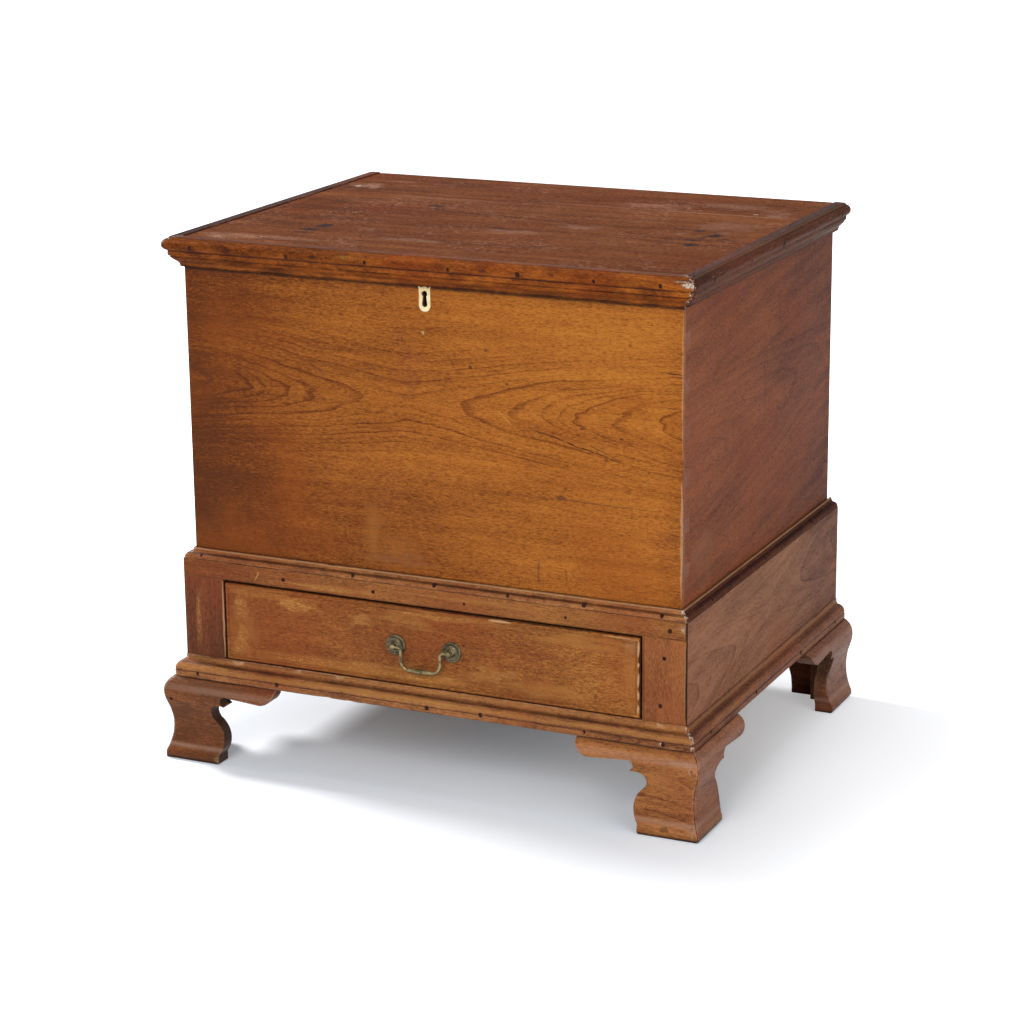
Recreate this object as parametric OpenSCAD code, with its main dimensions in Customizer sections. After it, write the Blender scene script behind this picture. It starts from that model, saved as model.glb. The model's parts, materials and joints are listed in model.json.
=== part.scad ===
// Sugar chest: a lidded case with two bins, standing on a frame with one drawer
// and ogee bracket feet. X runs to the right, Y to the back and Z up, with the
// origin on the floor at the middle of the footprint.

/* [Case] */
// Width of the case across the front
case_w = 675; // [560:5:760]
// Depth of the case from front to back
case_d = 536; // [460:4:600]
// Height of the case boards
case_h = 399; // [300:3:480]
// Thickness of the case boards
board_t = 20; // [18:0.5:24]
// Thickness of the case bottom
case_bottom_t = 16; // [12:1:20]
// Height of the case bottom above the lower edge of the boards
case_bottom_rise = 6; // [4:0.5:14]
// Depth that the bottom and the divider are let into the boards
housing = 5; // [3:0.5:6]
// Thickness of the divider between the two bins
divider_t = 12; // [8:1:18]
// Clear width of the small bin
small_bin_w = 210; // [150:5:250]
// Distance from the rim down to the top of the divider
divider_drop = 70; // [20:5:160]

/* [Dovetails] */
// Spacing of the case dovetails, before it is rounded to fill the board
tail_pitch = 57; // [45:1:75]
// Width of a pin of the case at its wide side
pin_w = 18; // [12:0.5:24]
// Length in which a tail widens by one, on each side
tail_slope = 6; // [5:0.5:8]
// Wood left in front of the tails on the case front
front_lap = 6; // [4:0.5:9]
// Spacing of the drawer dovetails, before it is rounded
drawer_tail_pitch = 30; // [22:1:45]
// Width of a pin of the drawer at its wide side
drawer_pin_w = 11; // [8:0.5:14]

/* [Lid] */
// Thickness of the lid boards
lid_t = 20; // [16:0.5:24]
// Width of the back board of the lid
lid_back_board_w = 143; // [100:1:240]
// Overhang of the lid past the back of the case
lid_back_over = 2; // [1:0.5:3.5]
// Gap between the hanging lid moulding and the case
lid_gap = 0.8; // [0.5:0.1:2]
// Height of the lid moulding above the lid boards
lid_mould_proud = 1.2; // [0.5:0.1:2]
// Length that the lid moulding hangs below the rim
lid_mould_drop = 17; // [15:0.5:22]
// Width of the flat strip on top of the lid moulding
lid_strip_w = 14.7; // [12:0.1:18]
// Radius of the round bead of the lid moulding
lid_bead_r = 7.2; // [6:0.1:8]
// Height of the square fillet under the bead
lid_fillet_h = 6.5; // [4:0.1:8]
// Width of the foot of the lid moulding
lid_mould_foot_w = 6.4; // [5:0.1:8]

/* [Hinges] */
// Length of a hinge
hinge_l = 60; // [45:1:80]
// Width of a hinge leaf on the wood
hinge_leaf_w = 16; // [12:0.5:17]
// Thickness of a hinge leaf
hinge_leaf_t = 2; // [1.5:0.1:2.5]
// Radius of the hinge barrel
hinge_barrel_r = 3.5; // [3:0.1:3.8]
// Radius of the hinge pin
hinge_pin_r = 1.6; // [1.2:0.1:1.9]
// Running clearance round the hinge pin
hinge_fit = 0.05; // [0.02:0.01:0.09]
// Gap between neighbouring knuckles
knuckle_gap = 0.3; // [0.2:0.1:0.6]
// Distance from a side of the case to the middle of a hinge
hinge_inset = 110; // [80:5:160]
// Gap between the barrel and the back of the case
hinge_back_gap = 0.6; // [0.4:0.1:1.2]

/* [Lock] */
// Width of the lock plate
lock_w = 76; // [70:1:90]
// Height of the lock plate
lock_h = 54; // [50:1:66]
// Thickness of the lock plate and its top edge
lock_plate_t = 2; // [1.5:0.1:2.5]
// Width of the lock box behind the plate
lock_box_w = 60; // [54:1:66]
// Height of the lock box below the top plate
lock_box_h = 44; // [40:1:46]
// Depth of the lock box
lock_box_d = 12; // [11:0.5:13]
// Travel of the bolt
bolt_travel = 8; // [6:0.5:9]
// Length of the bolt
bolt_l = 36; // [30:1:40]
// Height of the bolt
bolt_h = 4.6; // [4:0.1:5]
// Thickness of the bolt
bolt_t = 4; // [3:0.1:5]
// Clearance round the bolt
bolt_gap = 0.3; // [0.2:0.1:0.6]
// Distance from the top of the lock down to the bolt
bolt_drop = 6.2; // [5.5:0.1:8]
// Thickness of the catch that hangs from the lid
catch_t = 3; // [2:0.1:3.5]
// Wood-side wall of the catch round the bolt
catch_wall = 2; // [1.5:0.1:2.2]
// Clearance round the catch in its slot
catch_gap = 0.8; // [0.5:0.1:1]
// Length of the catch plate let into the lid
catch_plate_l = 36; // [30:1:50]
// Distance from the rim down to the round end of the keyhole
keyhole_drop = 27.5; // [25:0.5:32]
// Radius of the round end of the keyhole
keyhole_r = 3.85; // [3.2:0.05:4.2]
// Distance between the two ends of the keyhole
keyhole_l = 12.8; // [11:0.1:15]
// Half the width of the keyhole at its waist
keyhole_waist = 2.7; // [2.4:0.05:3]
// Width of the inlaid escutcheon
escutcheon_w = 15.4; // [14:0.1:20]
// Distance that the horns of the escutcheon stand out at its top corners
escutcheon_horn = 0.9; // [0.3:0.1:1.5]
// Height of the escutcheon
escutcheon_h = 31.5; // [29:0.5:36]
// Thickness of the escutcheon
escutcheon_t = 2; // [1.5:0.1:3]
// Height of the escutcheon above the wood
escutcheon_proud = 0.4; // [0.2:0.1:1]
// Wood above the round end of the keyhole in the escutcheon
escutcheon_head = 9.5; // [8.5:0.1:11]

/* [Frame] */
// Height of the frame
frame_h = 158; // [130:1:200]
// Thickness of the frame boards
frame_t = 20; // [16:0.5:24]
// Width of the ledge between case and frame, front and sides
frame_step = 12.6; // [10:0.2:16]
// Distance that the frame stands out behind the case
frame_back_step = 9; // [8.5:0.5:14]
// Height of the rail above the drawer
top_rail_h = 23; // [16:1:34]
// Height of the rail below the drawer
bottom_rail_h = 28; // [26:1:36]
// Depth of the rail below the drawer
bottom_rail_d = 60; // [50:1:80]
// Width of a stile beside the drawer
stile_w = 58.5; // [45:0.5:75]
// Thickness of a drawer runner
runner_t = 18; // [12:1:22]
// Width of a drawer runner
runner_w = 62; // [58:1:80]
// Height of a drawer guide
guide_h = 26; // [15:1:40]
// Width of a drawer stop
stop_w = 36; // [20:1:60]
// Depth of a drawer stop
stop_d = 20; // [12:1:26]
// Height of a drawer stop
stop_h = 4; // [2:0.5:5]
// Distance of a drawer stop from the middle
stop_offset = 160; // [80:5:200]

/* [Mouldings] */
// Height of the moulding between case and frame
waist_mould_h = 12.5; // [10:0.1:16]
// Width of the flat on top of that moulding
waist_ledge_w = 3.4; // [2:0.1:5]
// Projection of the base moulding from the frame
base_mould_out = 13.4; // [11:0.1:15]
// Height of the flat band at the bottom of the base moulding
base_band_h = 7.6; // [5:0.1:9]
// Radius of the round of the base moulding
base_round_r = 10.7; // [9:0.1:11]

/* [Feet] */
// Height of the feet
foot_h = 112; // [106:1:120]
// Furthest projection of a foot from the frame
foot_out = 25.4; // [23:0.2:30]
// Projection of a foot where it is most hollow
foot_waist_out = 17; // [14:0.2:20]
// Height of the most hollow place of a foot
foot_waist_z = 46; // [42:1:50]
// Distance from the top of a foot down to its fullest place
foot_bulge_drop = 19; // [16:0.5:22]
// Radius below the fullest place of a foot
foot_bulge_r = 50; // [40:1:60]
// Height of the upright pad of a foot
foot_pad_h = 8.9; // [6:0.1:12]
// Length of a foot from its corner to the tip of its wing
foot_l = 165; // [150:1:190]
// Width of a foot at the floor
foot_pad_w = 81; // [70:1:90]
// Height of the wing of a foot
wing_h = 20.5; // [17:0.5:24]
// Radius of the round lobe on the inner edge of a foot
lobe_r = 32; // [28:0.5:36]
// Distance from the top of a foot down to the middle of the lobe
lobe_drop = 79; // [74:0.5:84]
// Height of the upright edge below the lobe
pad_edge_h = 13; // [8:0.5:20]
// Radius of the scoop above the lobe
scoop_r = 11.5; // [9:0.5:13]
// Distance from the top of a foot down to the middle of the scoop
scoop_drop = 42.5; // [40:0.5:45]
// Radius of the small notch under the wing
notch_r = 7.2; // [5:0.1:8]
// Distance from the top of a foot down to the middle of the notch
notch_drop = 24; // [22:0.5:26]
// Distance of the notch beyond the edge of the pad
notch_past = 12.5; // [10:0.5:15]
// Thickness of the plain bracket at the back of a rear foot
rear_bracket_t = 18; // [14:1:24]
// Side of the upright glue block in a foot
corner_block = 21; // [16:1:26]
// Side of the glue blocks along the wings
wing_block = 14; // [10:1:16]
// Length of the glue blocks along the wings
wing_block_l = 84; // [60:1:100]
// Distance of the upright glue blocks from the floor
block_lift = 2; // [1:0.5:6]

/* [Drawer] */
// Thickness of the drawer front
drawer_front_t = 22; // [18:0.5:26]
// Room between the drawer and the back of the frame
drawer_back_room = 37.5; // [10:0.5:120]
// Gap above the drawer front
drawer_gap_top = 3.5; // [1.5:0.1:5]
// Gap below the drawer front
drawer_gap_bottom = 0.5; // [0.3:0.1:1.5]
// Gap at the left end of the drawer
drawer_gap_left = 1.5; // [0.8:0.1:4]
// Gap at the right end of the drawer
drawer_gap_right = 3.6; // [0.8:0.1:5]
// Thickness of the drawer sides
drawer_side_t = 12; // [10:0.5:14]
// Height of the drawer sides
drawer_side_h = 92; // [70:1:98]
// Thickness of the drawer back
drawer_back_t = 11; // [9:0.5:14]
// Thickness of the drawer bottom
drawer_bottom_t = 8; // [6:0.5:10]
// Height of the drawer bottom above the runners
drawer_bottom_rise = 8; // [6:0.5:12]
// Depth of the grooves for the drawer bottom
drawer_groove = 5; // [3:0.5:6]
// Wood left in front of the tails on the drawer front
drawer_lap = 6; // [4:0.5:8]
// Distance of the scratched line from the edges of the drawer front
scratch_inset = 4.6; // [3.5:0.1:7]
// Width of the scratched line
scratch_w = 1.1; // [0.8:0.1:1.6]
// Depth of the scratched line
scratch_depth = 0.9; // [0.6:0.1:1.4]

/* [Handle] */
// Distance between the two posts of the handle
handle_centres = 78; // [70:1:96]
// Distance of the handle from the middle of the drawer front
handle_shift = -3; // [-10:0.5:10]
// Radius of a rosette
rosette_r = 13.6; // [12:0.1:16]
// Height of a rosette
rosette_h = 5.4; // [4:0.1:5.6]
// Distance from the drawer front out to the pivot of the bail
post_reach = 10; // [9.8:0.1:13]
// Radius of the ball at the end of a post
post_ball_r = 4.2; // [3.8:0.1:5]
// Radius of the shank of a post
post_shank_r = 2.4; // [2:0.1:2.8]
// Width of the square nuts behind the drawer front
nut_w = 9; // [8:0.5:12]
// Thickness of the nuts
nut_t = 3; // [2:0.5:5]
// Radius of the wire of the bail
bail_r = 1.9; // [1.5:0.1:2.1]
// Radius of the bail at the middle of its grip
bail_grip_r = 3.3; // [2.6:0.1:3.8]
// Running clearance of the bail in its posts
bail_fit = 0.06; // [0.02:0.01:0.09]
// Drop of the bail below its pivot
bail_drop = 28; // [25:0.5:36]
// Distance of the bail's arms inside the posts
bail_arm_in = 11.5; // [10:0.5:14]
// Radius of the upper bends of the bail
bail_top_bend = 5; // [4:0.1:5.4]
// Radius of the lower bends of the bail
bail_low_bend = 12; // [8:0.5:14]
// Length of bail wire past the middle of a post
bail_tail = 3; // [2:0.1:3.6]

/* [Hidden] */
$fn = 48;

// Colours of the woods and metals
walnut_gold = [0.62, 0.36, 0.15];
walnut_red = [0.48, 0.25, 0.14];
walnut_dark = [0.38, 0.20, 0.12];
poplar = [0.66, 0.52, 0.34];
brass = [0.55, 0.48, 0.30];
iron = [0.25, 0.23, 0.21];
bone = [0.90, 0.84, 0.68];

// Length that a cutting shape runs past the face it cuts
over = 1;

// Frame, case and rim in the shared axes
frame_w = case_w + 2 * frame_step;
frame_d = frame_step + case_d + frame_back_step;
side_x = frame_w / 2;
front_y = -(frame_d - foot_out) / 2;
back_y = front_y + frame_d;
case_side_x = case_w / 2;
case_y = front_y + frame_step;
case_back_y = case_y + case_d;
case_z = foot_h + frame_h;
rim_z = case_z + case_h;
drawer_floor_z = foot_h + bottom_rail_h;
drawer_roof_z = case_z - top_rail_h;
lid_side_x = case_side_x + lid_gap;
lid_front_y = case_y - lid_gap;
lid_back_y = case_back_y + lid_back_over;

// Points of an arc, from one angle to another
function arc_points(cx, cy, r, from, to, steps) = [
    for (i = [0:steps])
        let (a = from + (to - from) * i / steps)
            [cx + r * cos(a), cy + r * sin(a)]
];

// Points of a smooth step that leaves and arrives upright
function step_points(x0, y0, x1, y1, steps) = [
    for (i = [0:steps])
        let (t = i / steps)
            [x0 + (x1 - x0) * (1 - cos(180 * t)) / 2, y0 + (y1 - y0) * t]
];

function reversed(points) = [for (i = [len(points) - 1:-1:0]) points[i]];

// Edge of a board with a row of tails, from its low end to its high end
function tail_edge(low, high, pitch, pin, root, tip) =
    let (
        count = max(1, round((high - low) / pitch)),
        step = (high - low) / count,
        root_half = (step - pin) / 2,
        tip_half = root_half + abs(tip - root) / tail_slope
    )
    [
        for (i = [0:count - 1])
            let (mid = low + step * (i + 0.5))
                each [
                    [root, mid - root_half], [tip, mid - tip_half],
                    [tip, mid + tip_half], [root, mid + root_half]
                ]
    ];

// Shape of the same tails as a cutter, running past the root
module tail_row(low, high, pitch, pin, root, tip) {
    edge = tail_edge(low, high, pitch, pin, root, tip);
    past = root + (root > tip ? over : -over);
    for (i = [0:4:len(edge) - 1])
        polygon([
            [past, edge[i][1]], edge[i], edge[i + 1],
            edge[i + 2], edge[i + 3], [past, edge[i + 3][1]]
        ]);
}

// Stands a drawing of Y and Z up and gives it a width along X
module along_x(x, w) {
    translate([x, 0, 0])
        rotate([90, 0, 90])
            linear_extrude(height = w)
                children();
}

// Stands a drawing of X and Z up and gives it a depth along Y
module along_y(y, d) {
    translate([0, y + d, 0])
        rotate([90, 0, 0])
            linear_extrude(height = d)
                children();
}

module along_z(z, h) {
    translate([0, 0, z])
        linear_extrude(height = h)
            children();
}

module box(x0, x1, y0, y1, z0, z1) {
    translate([x0, y0, z0])
        cube([x1 - x0, y1 - y0, z1 - z0]);
}

// Plan of a run along the front, mitred at both ends, from behind a face to before it
module front_plan(x, y, behind, before) {
    polygon([
        [-x - before, y - before], [x + before, y - before],
        [x - behind, y + behind], [-x + behind, y + behind]
    ]);
}

// Plan of the run along the right side that meets it
module side_plan(x, y, behind, before, end) {
    polygon([
        [x - behind, y + behind], [x + before, y - before],
        [x + before, end], [x - behind, end]
    ]);
}

// Case

case_tails_low = case_z;
case_tails_high = rim_z;

module case_tails(root, tip) {
    tail_row(case_tails_low, case_tails_high, tail_pitch, pin_w, root, tip);
}

module case_end_cuts(root, tip) {
    along_x(case_side_x - board_t, board_t + over)
        case_tails(root, tip);
    along_x(-case_side_x - over, board_t + over)
        case_tails(root, tip);
}

bottom_z = case_z + case_bottom_rise;
bin_floor_z = bottom_z + case_bottom_t;
bin_side_x = case_side_x - board_t;
bin_front_y = case_y + board_t;
bin_back_y = case_back_y - board_t;
divider_x = bin_side_x - small_bin_w - divider_t;

module bottom_panel() {
    box(-bin_side_x - housing, bin_side_x + housing,
        bin_front_y - housing, bin_back_y + housing, bottom_z, bin_floor_z);
}

// Divider from the floor of the bins up to a given height
module divider_panel(top) {
    box(divider_x, divider_x + divider_t,
        bin_front_y - housing, bin_back_y + housing, bin_floor_z, top);
}

module case_front() {
    color(walnut_gold)
        difference() {
            box(-case_side_x, case_side_x, case_y, bin_front_y, case_z, rim_z);
            case_end_cuts(bin_front_y, case_y + front_lap);
            bottom_panel();
            divider_panel(rim_z + over);
            lock_space();
            along_y(case_y - over, escutcheon_t - escutcheon_proud + over)
                escutcheon_shape();
            along_y(case_y - over, board_t + 2 * over)
                keyhole_shape();
        }
}

module case_back() {
    color(walnut_dark)
        difference() {
            box(-case_side_x, case_side_x, bin_back_y, case_back_y, case_z, rim_z);
            case_end_cuts(bin_back_y, case_back_y);
            case_end_cuts(bin_back_y, case_back_y + over);
            bottom_panel();
            divider_panel(rim_z + over);
            hinge_leaf_spaces(rim_z - hinge_leaf_t, rim_z + over);
        }
}

module case_side() {
    front_edge = tail_edge(case_tails_low, case_tails_high, tail_pitch, pin_w,
                           bin_front_y, case_y + front_lap);
    back_edge = tail_edge(case_tails_low, case_tails_high, tail_pitch, pin_w,
                          bin_back_y, case_back_y);
    difference() {
        along_x(bin_side_x, board_t)
            polygon(concat(
                [[bin_front_y, case_z]], front_edge, [[bin_front_y, rim_z]],
                [[bin_back_y, rim_z]], reversed(back_edge), [[bin_back_y, case_z]]
            ));
        bottom_panel();
    }
}

module case_side_right() {
    color(walnut_red)
        case_side();
}

module case_side_left() {
    color(walnut_red)
        mirror([1, 0, 0])
            case_side();
}

module case_bottom() {
    color(poplar)
        bottom_panel();
}

module case_divider() {
    color(poplar)
        divider_panel(rim_z - divider_drop);
}

// Keyhole, lock and catch

keyhole_z = rim_z - keyhole_drop;
escutcheon_top_z = keyhole_z + escutcheon_head;

module keyhole_shape() {
    foot_z = keyhole_z - keyhole_l;
    waist_z = keyhole_z - keyhole_l * 0.42;
    foot_r = keyhole_r * 0.95;
    translate([0, keyhole_z])
        circle(r = keyhole_r);
    translate([0, foot_z])
        circle(r = foot_r);
    polygon([
        [-foot_r, foot_z], [foot_r, foot_z], [keyhole_waist, waist_z],
        [keyhole_waist, keyhole_z], [-keyhole_waist, keyhole_z], [-keyhole_waist, waist_z]
    ]);
}

// Shield with a round foot, horned top corners and two scoops in its top edge
module escutcheon_shape() {
    half = escutcheon_w / 2;
    foot_z = escutcheon_top_z - escutcheon_h + half;
    horn_low = escutcheon_top_z - 4 * escutcheon_horn;
    scoop = escutcheon_w / 6;
    difference() {
        union() {
            translate([0, foot_z])
                circle(r = half);
            polygon([
                [-half, foot_z], [half, foot_z], [half, horn_low],
                [half + escutcheon_horn, escutcheon_top_z],
                [-half - escutcheon_horn, escutcheon_top_z], [-half, horn_low]
            ]);
        }
        for (x = [-half * 0.58, half * 0.58])
            translate([x, escutcheon_top_z + scoop / 3])
                circle(r = scoop);
    }
}

module keyhole_escutcheon() {
    color(bone)
        difference() {
            along_y(case_y - escutcheon_proud, escutcheon_t)
                escutcheon_shape();
            along_y(case_y - escutcheon_proud - over, escutcheon_t + 2 * over)
                keyhole_shape();
        }
}

lock_face_y = bin_front_y - lock_plate_t;
lock_box_y = lock_face_y - lock_box_d;
bolt_mid_y = lock_face_y - lock_box_d / 2;
bolt_top_z = rim_z - bolt_drop;
bolt_z = bolt_top_z - bolt_h;
catch_x = bolt_l / 2 - 2;
bolt_x = catch_x - catch_gap - bolt_l;
catch_half_y = bolt_t / 2 + bolt_gap + catch_wall;
catch_z = bolt_z - bolt_gap - catch_wall;
key_room_w = 24;
key_room_wall = 2;

module lock_space() {
    box(-lock_w / 2, lock_w / 2, lock_face_y, bin_front_y + over, rim_z - lock_h, rim_z + over);
    box(-lock_w / 2, lock_w / 2, lock_box_y, lock_face_y + over,
        rim_z - lock_plate_t, rim_z + over);
    box(-lock_box_w / 2, lock_box_w / 2, lock_box_y, lock_face_y + over,
        rim_z - lock_plate_t - lock_box_h, rim_z);
}

module lock_case() {
    color(iron)
        difference() {
            union() {
                box(-lock_w / 2, lock_w / 2, lock_face_y, bin_front_y, rim_z - lock_h, rim_z);
                box(-lock_w / 2, lock_w / 2, lock_box_y, lock_face_y + over,
                    rim_z - lock_plate_t, rim_z);
                box(-lock_box_w / 2, lock_box_w / 2, lock_box_y, lock_face_y + over,
                    rim_z - lock_plate_t - lock_box_h, rim_z);
            }
            // Channel of the bolt
            box(bolt_x - bolt_gap, bolt_x + bolt_l + bolt_travel + bolt_gap,
                bolt_mid_y - bolt_t / 2 - bolt_gap, bolt_mid_y + bolt_t / 2 + bolt_gap,
                bolt_z - bolt_gap, bolt_top_z + bolt_gap);
            // Slot for the catch
            box(catch_x - catch_gap, catch_x + catch_t + catch_gap,
                bolt_mid_y - catch_half_y - catch_gap, bolt_mid_y + catch_half_y + catch_gap,
                catch_z - catch_gap, rim_z + over);
            // Room for the bit of the key, open to the bolt and to the keyhole
            box(-key_room_w / 2, key_room_w / 2,
                lock_box_y + key_room_wall, lock_face_y - key_room_wall,
                keyhole_z - keyhole_l - 2 * keyhole_r, bolt_z + bolt_h / 2);
            along_y(lock_box_y - over, lock_box_d / 2)
                keyhole_shape();
        }
}

module lock_bolt() {
    color(brass)
        difference() {
            box(bolt_x, bolt_x + bolt_l, bolt_mid_y - bolt_t / 2, bolt_mid_y + bolt_t / 2,
                bolt_z, bolt_top_z);
            // Notch for the bit of the key
            box(-bolt_travel / 2, bolt_travel / 2, bolt_mid_y - bolt_t, bolt_mid_y + bolt_t,
                bolt_z - over, bolt_z + bolt_h / 2);
        }
}

module catch_plate() {
    box(catch_x + catch_t / 2 - catch_plate_l / 2, catch_x + catch_t / 2 + catch_plate_l / 2,
        bolt_mid_y - catch_half_y, bolt_mid_y + catch_half_y, rim_z, rim_z + lock_plate_t);
}

module lock_catch() {
    color(brass)
        difference() {
            union() {
                catch_plate();
                box(catch_x, catch_x + catch_t, bolt_mid_y - catch_half_y,
                    bolt_mid_y + catch_half_y, catch_z, rim_z + lock_plate_t);
            }
            box(catch_x - over, catch_x + catch_t + over,
                bolt_mid_y - bolt_t / 2 - bolt_gap, bolt_mid_y + bolt_t / 2 + bolt_gap,
                bolt_z - bolt_gap, bolt_top_z + bolt_gap);
        }
}

// Hinges

hinge_x = case_side_x - hinge_inset;
hinge_y = case_back_y + hinge_back_gap + hinge_barrel_r;
knuckles = 5;
knuckle_pitch = hinge_l / knuckles;

// Spaces for the leaves of both hinges, cut into a board
module hinge_leaf_spaces(low, high) {
    for (x = [-hinge_x, hinge_x])
        box(x - hinge_l / 2, x + hinge_l / 2, case_back_y - hinge_leaf_w,
            case_back_y + lid_back_over + over, low, high);
}

module barrel_line(x, l, r) {
    translate([x, hinge_y, rim_z])
        rotate([0, 90, 0])
            cylinder(h = l, r = r);
}

// One leaf with every other knuckle; it lies above or below the rim
module hinge_leaf(x, first, low) {
    difference() {
        union() {
            box(x - hinge_l / 2, x + hinge_l / 2,
                case_back_y - hinge_leaf_w, case_back_y, low, low + hinge_leaf_t);
            for (k = [first:2:knuckles - 1]) {
                start = x - hinge_l / 2 + k * knuckle_pitch + knuckle_gap / 2;
                barrel_line(start, knuckle_pitch - knuckle_gap, hinge_barrel_r);
                box(start, start + knuckle_pitch - knuckle_gap,
                    case_back_y - over, hinge_y, low, low + hinge_leaf_t);
            }
        }
        barrel_line(x - hinge_l / 2 - over, hinge_l + 2 * over, hinge_pin_r + hinge_fit);
    }
}

module hinge_case_leaf_right() {
    color(brass)
        hinge_leaf(hinge_x, 0, rim_z - hinge_leaf_t);
}

module hinge_case_leaf_left() {
    color(brass)
        hinge_leaf(-hinge_x, 0, rim_z - hinge_leaf_t);
}

module hinge_lid_leaf_right() {
    color(brass)
        hinge_leaf(hinge_x, 1, rim_z);
}

module hinge_lid_leaf_left() {
    color(brass)
        hinge_leaf(-hinge_x, 1, rim_z);
}

module hinge_pins() {
    color(iron)
        for (x = [-hinge_x, hinge_x])
            barrel_line(x - hinge_l / 2, hinge_l, hinge_pin_r);
}

// Lid

module lid_cuts() {
    hinge_leaf_spaces(rim_z - over, rim_z + hinge_leaf_t);
    for (x = [-hinge_x, hinge_x])
        barrel_line(x - hinge_l / 2, hinge_l, hinge_barrel_r + hinge_back_gap);
}

module lid_board_front() {
    color(walnut_red)
        difference() {
            box(-lid_side_x, lid_side_x, lid_front_y, lid_back_y - lid_back_board_w,
                rim_z, rim_z + lid_t);
            catch_plate();
        }
}

module lid_board_back() {
    color(walnut_red)
        difference() {
            box(-lid_side_x, lid_side_x, lid_back_y - lid_back_board_w, lid_back_y,
                rim_z, rim_z + lid_t);
            lid_cuts();
        }
}

// Section of the lid moulding: distance from the lid's edge, and height above the rim
function lid_profile() =
    let (
        top = lid_t + lid_mould_proud,
        quirk = 2.5,
        bead_mid = top - quirk - lid_bead_r,
        fillet_x = lid_strip_w + 2.3,
        fillet_top = bead_mid - lid_bead_r * sin(75),
        fillet_low = fillet_top - lid_fillet_h,
        ogee_x = fillet_x - 2,
        ogee_low = -lid_mould_drop + 2
    )
    concat(
        [[0, -lid_mould_drop], [0, top], [lid_strip_w, top]],
        arc_points(lid_strip_w + 1.1, bead_mid, lid_bead_r, 86, -75, 14),
        [[fillet_x, fillet_top], [fillet_x, fillet_low], [ogee_x, fillet_low]],
        step_points(ogee_x, fillet_low - 0.8, lid_mould_foot_w, ogee_low, 8),
        [[lid_mould_foot_w, -lid_mould_drop]]
    );

lid_mould_reach = 30;

module lid_moulding_front() {
    color(walnut_gold)
        intersection() {
            along_x(-lid_side_x - lid_mould_reach, 2 * (lid_side_x + lid_mould_reach))
                polygon([for (p = lid_profile()) [lid_front_y - p[0], rim_z + p[1]]]);
            along_z(rim_z - 2 * lid_mould_drop, 4 * lid_mould_drop)
                front_plan(lid_side_x, lid_front_y, 0, lid_mould_reach);
        }
}

module lid_moulding_side() {
    intersection() {
        along_y(lid_front_y - lid_mould_reach, lid_back_y - lid_front_y + lid_mould_reach)
            polygon([for (p = lid_profile()) [lid_side_x + p[0], rim_z + p[1]]]);
        along_z(rim_z - 2 * lid_mould_drop, 4 * lid_mould_drop)
            side_plan(lid_side_x, lid_front_y, 0, lid_mould_reach, lid_back_y);
    }
}

module lid_moulding_right() {
    color(walnut_dark)
        lid_moulding_side();
}

module lid_moulding_left() {
    color(walnut_dark)
        mirror([1, 0, 0])
            lid_moulding_side();
}

// Moulding between case and frame: distance from the case, and height above the frame
function waist_profile() =
    let (
        lip = 0.4,
        nose = frame_step - lip,
        mid_x = frame_step * 0.58,
        mid_z = waist_mould_h * 0.56
    )
    concat(
        [[0, 0], [nose, 0]],
        [
            for (a = [0:15:90])
                [mid_x + (nose - mid_x) * cos(a), 0.8 + (mid_z - 0.8) * sin(a)]
        ],
        [[mid_x - 0.9, mid_z]],
        [
            for (a = [75:-15:0])
                [
                    waist_ledge_w + (mid_x - 0.9 - waist_ledge_w) * (1 - cos(a)),
                    waist_mould_h - 0.9 - (waist_mould_h - 0.9 - mid_z) * sin(a)
                ]
        ],
        [[waist_ledge_w, waist_mould_h], [0, waist_mould_h]]
    );

module waist_moulding_front() {
    color(walnut_gold)
        intersection() {
            along_x(-side_x, frame_w)
                polygon([for (p = waist_profile()) [case_y - p[0], case_z + p[1]]]);
            along_z(case_z - over, waist_mould_h + 2 * over)
                front_plan(case_side_x, case_y, 0, frame_step);
        }
}

module waist_moulding_side() {
    intersection() {
        along_y(front_y, frame_d)
            polygon([for (p = waist_profile()) [case_side_x + p[0], case_z + p[1]]]);
        along_z(case_z - over, waist_mould_h + 2 * over)
            side_plan(case_side_x, case_y, 0, frame_step, back_y);
    }
}

module waist_moulding_right() {
    color(walnut_red)
        waist_moulding_side();
}

module waist_moulding_left() {
    color(walnut_red)
        mirror([1, 0, 0])
            waist_moulding_side();
}

// Frame

opening_x = side_x - stile_w;
opening_w = 2 * opening_x;

module frame_top_rail() {
    color(walnut_gold)
        along_z(drawer_roof_z, top_rail_h)
            front_plan(side_x, front_y, frame_t, 0);
}

module frame_bottom_rail() {
    color(walnut_dark)
        along_z(foot_h, bottom_rail_h)
            union() {
                front_plan(side_x, front_y, frame_t, 0);
                translate([-side_x + frame_t, front_y + frame_t])
                    square([frame_w - 2 * frame_t, bottom_rail_d - frame_t]);
            }
}

module frame_stile() {
    along_z(drawer_floor_z, drawer_roof_z - drawer_floor_z)
        polygon([
            [opening_x, front_y], [side_x, front_y],
            [side_x - frame_t, front_y + frame_t], [opening_x, front_y + frame_t]
        ]);
}

module frame_stile_right() {
    color(walnut_red)
        frame_stile();
}

module frame_stile_left() {
    color(walnut_red)
        mirror([1, 0, 0])
            frame_stile();
}

module frame_side() {
    along_z(foot_h, frame_h)
        side_plan(side_x, front_y, frame_t, 0, back_y);
}

module frame_side_right() {
    color(walnut_red)
        frame_side();
}

module frame_side_left() {
    color(walnut_red)
        mirror([1, 0, 0])
            frame_side();
}

module frame_back() {
    color(poplar)
        box(-side_x + frame_t, side_x - frame_t, back_y - frame_t, back_y, foot_h, case_z);
}

module drawer_runner() {
    box(side_x - frame_t - runner_w, side_x - frame_t, front_y + bottom_rail_d, back_y - frame_t,
        drawer_floor_z - runner_t, drawer_floor_z);
}

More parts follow.
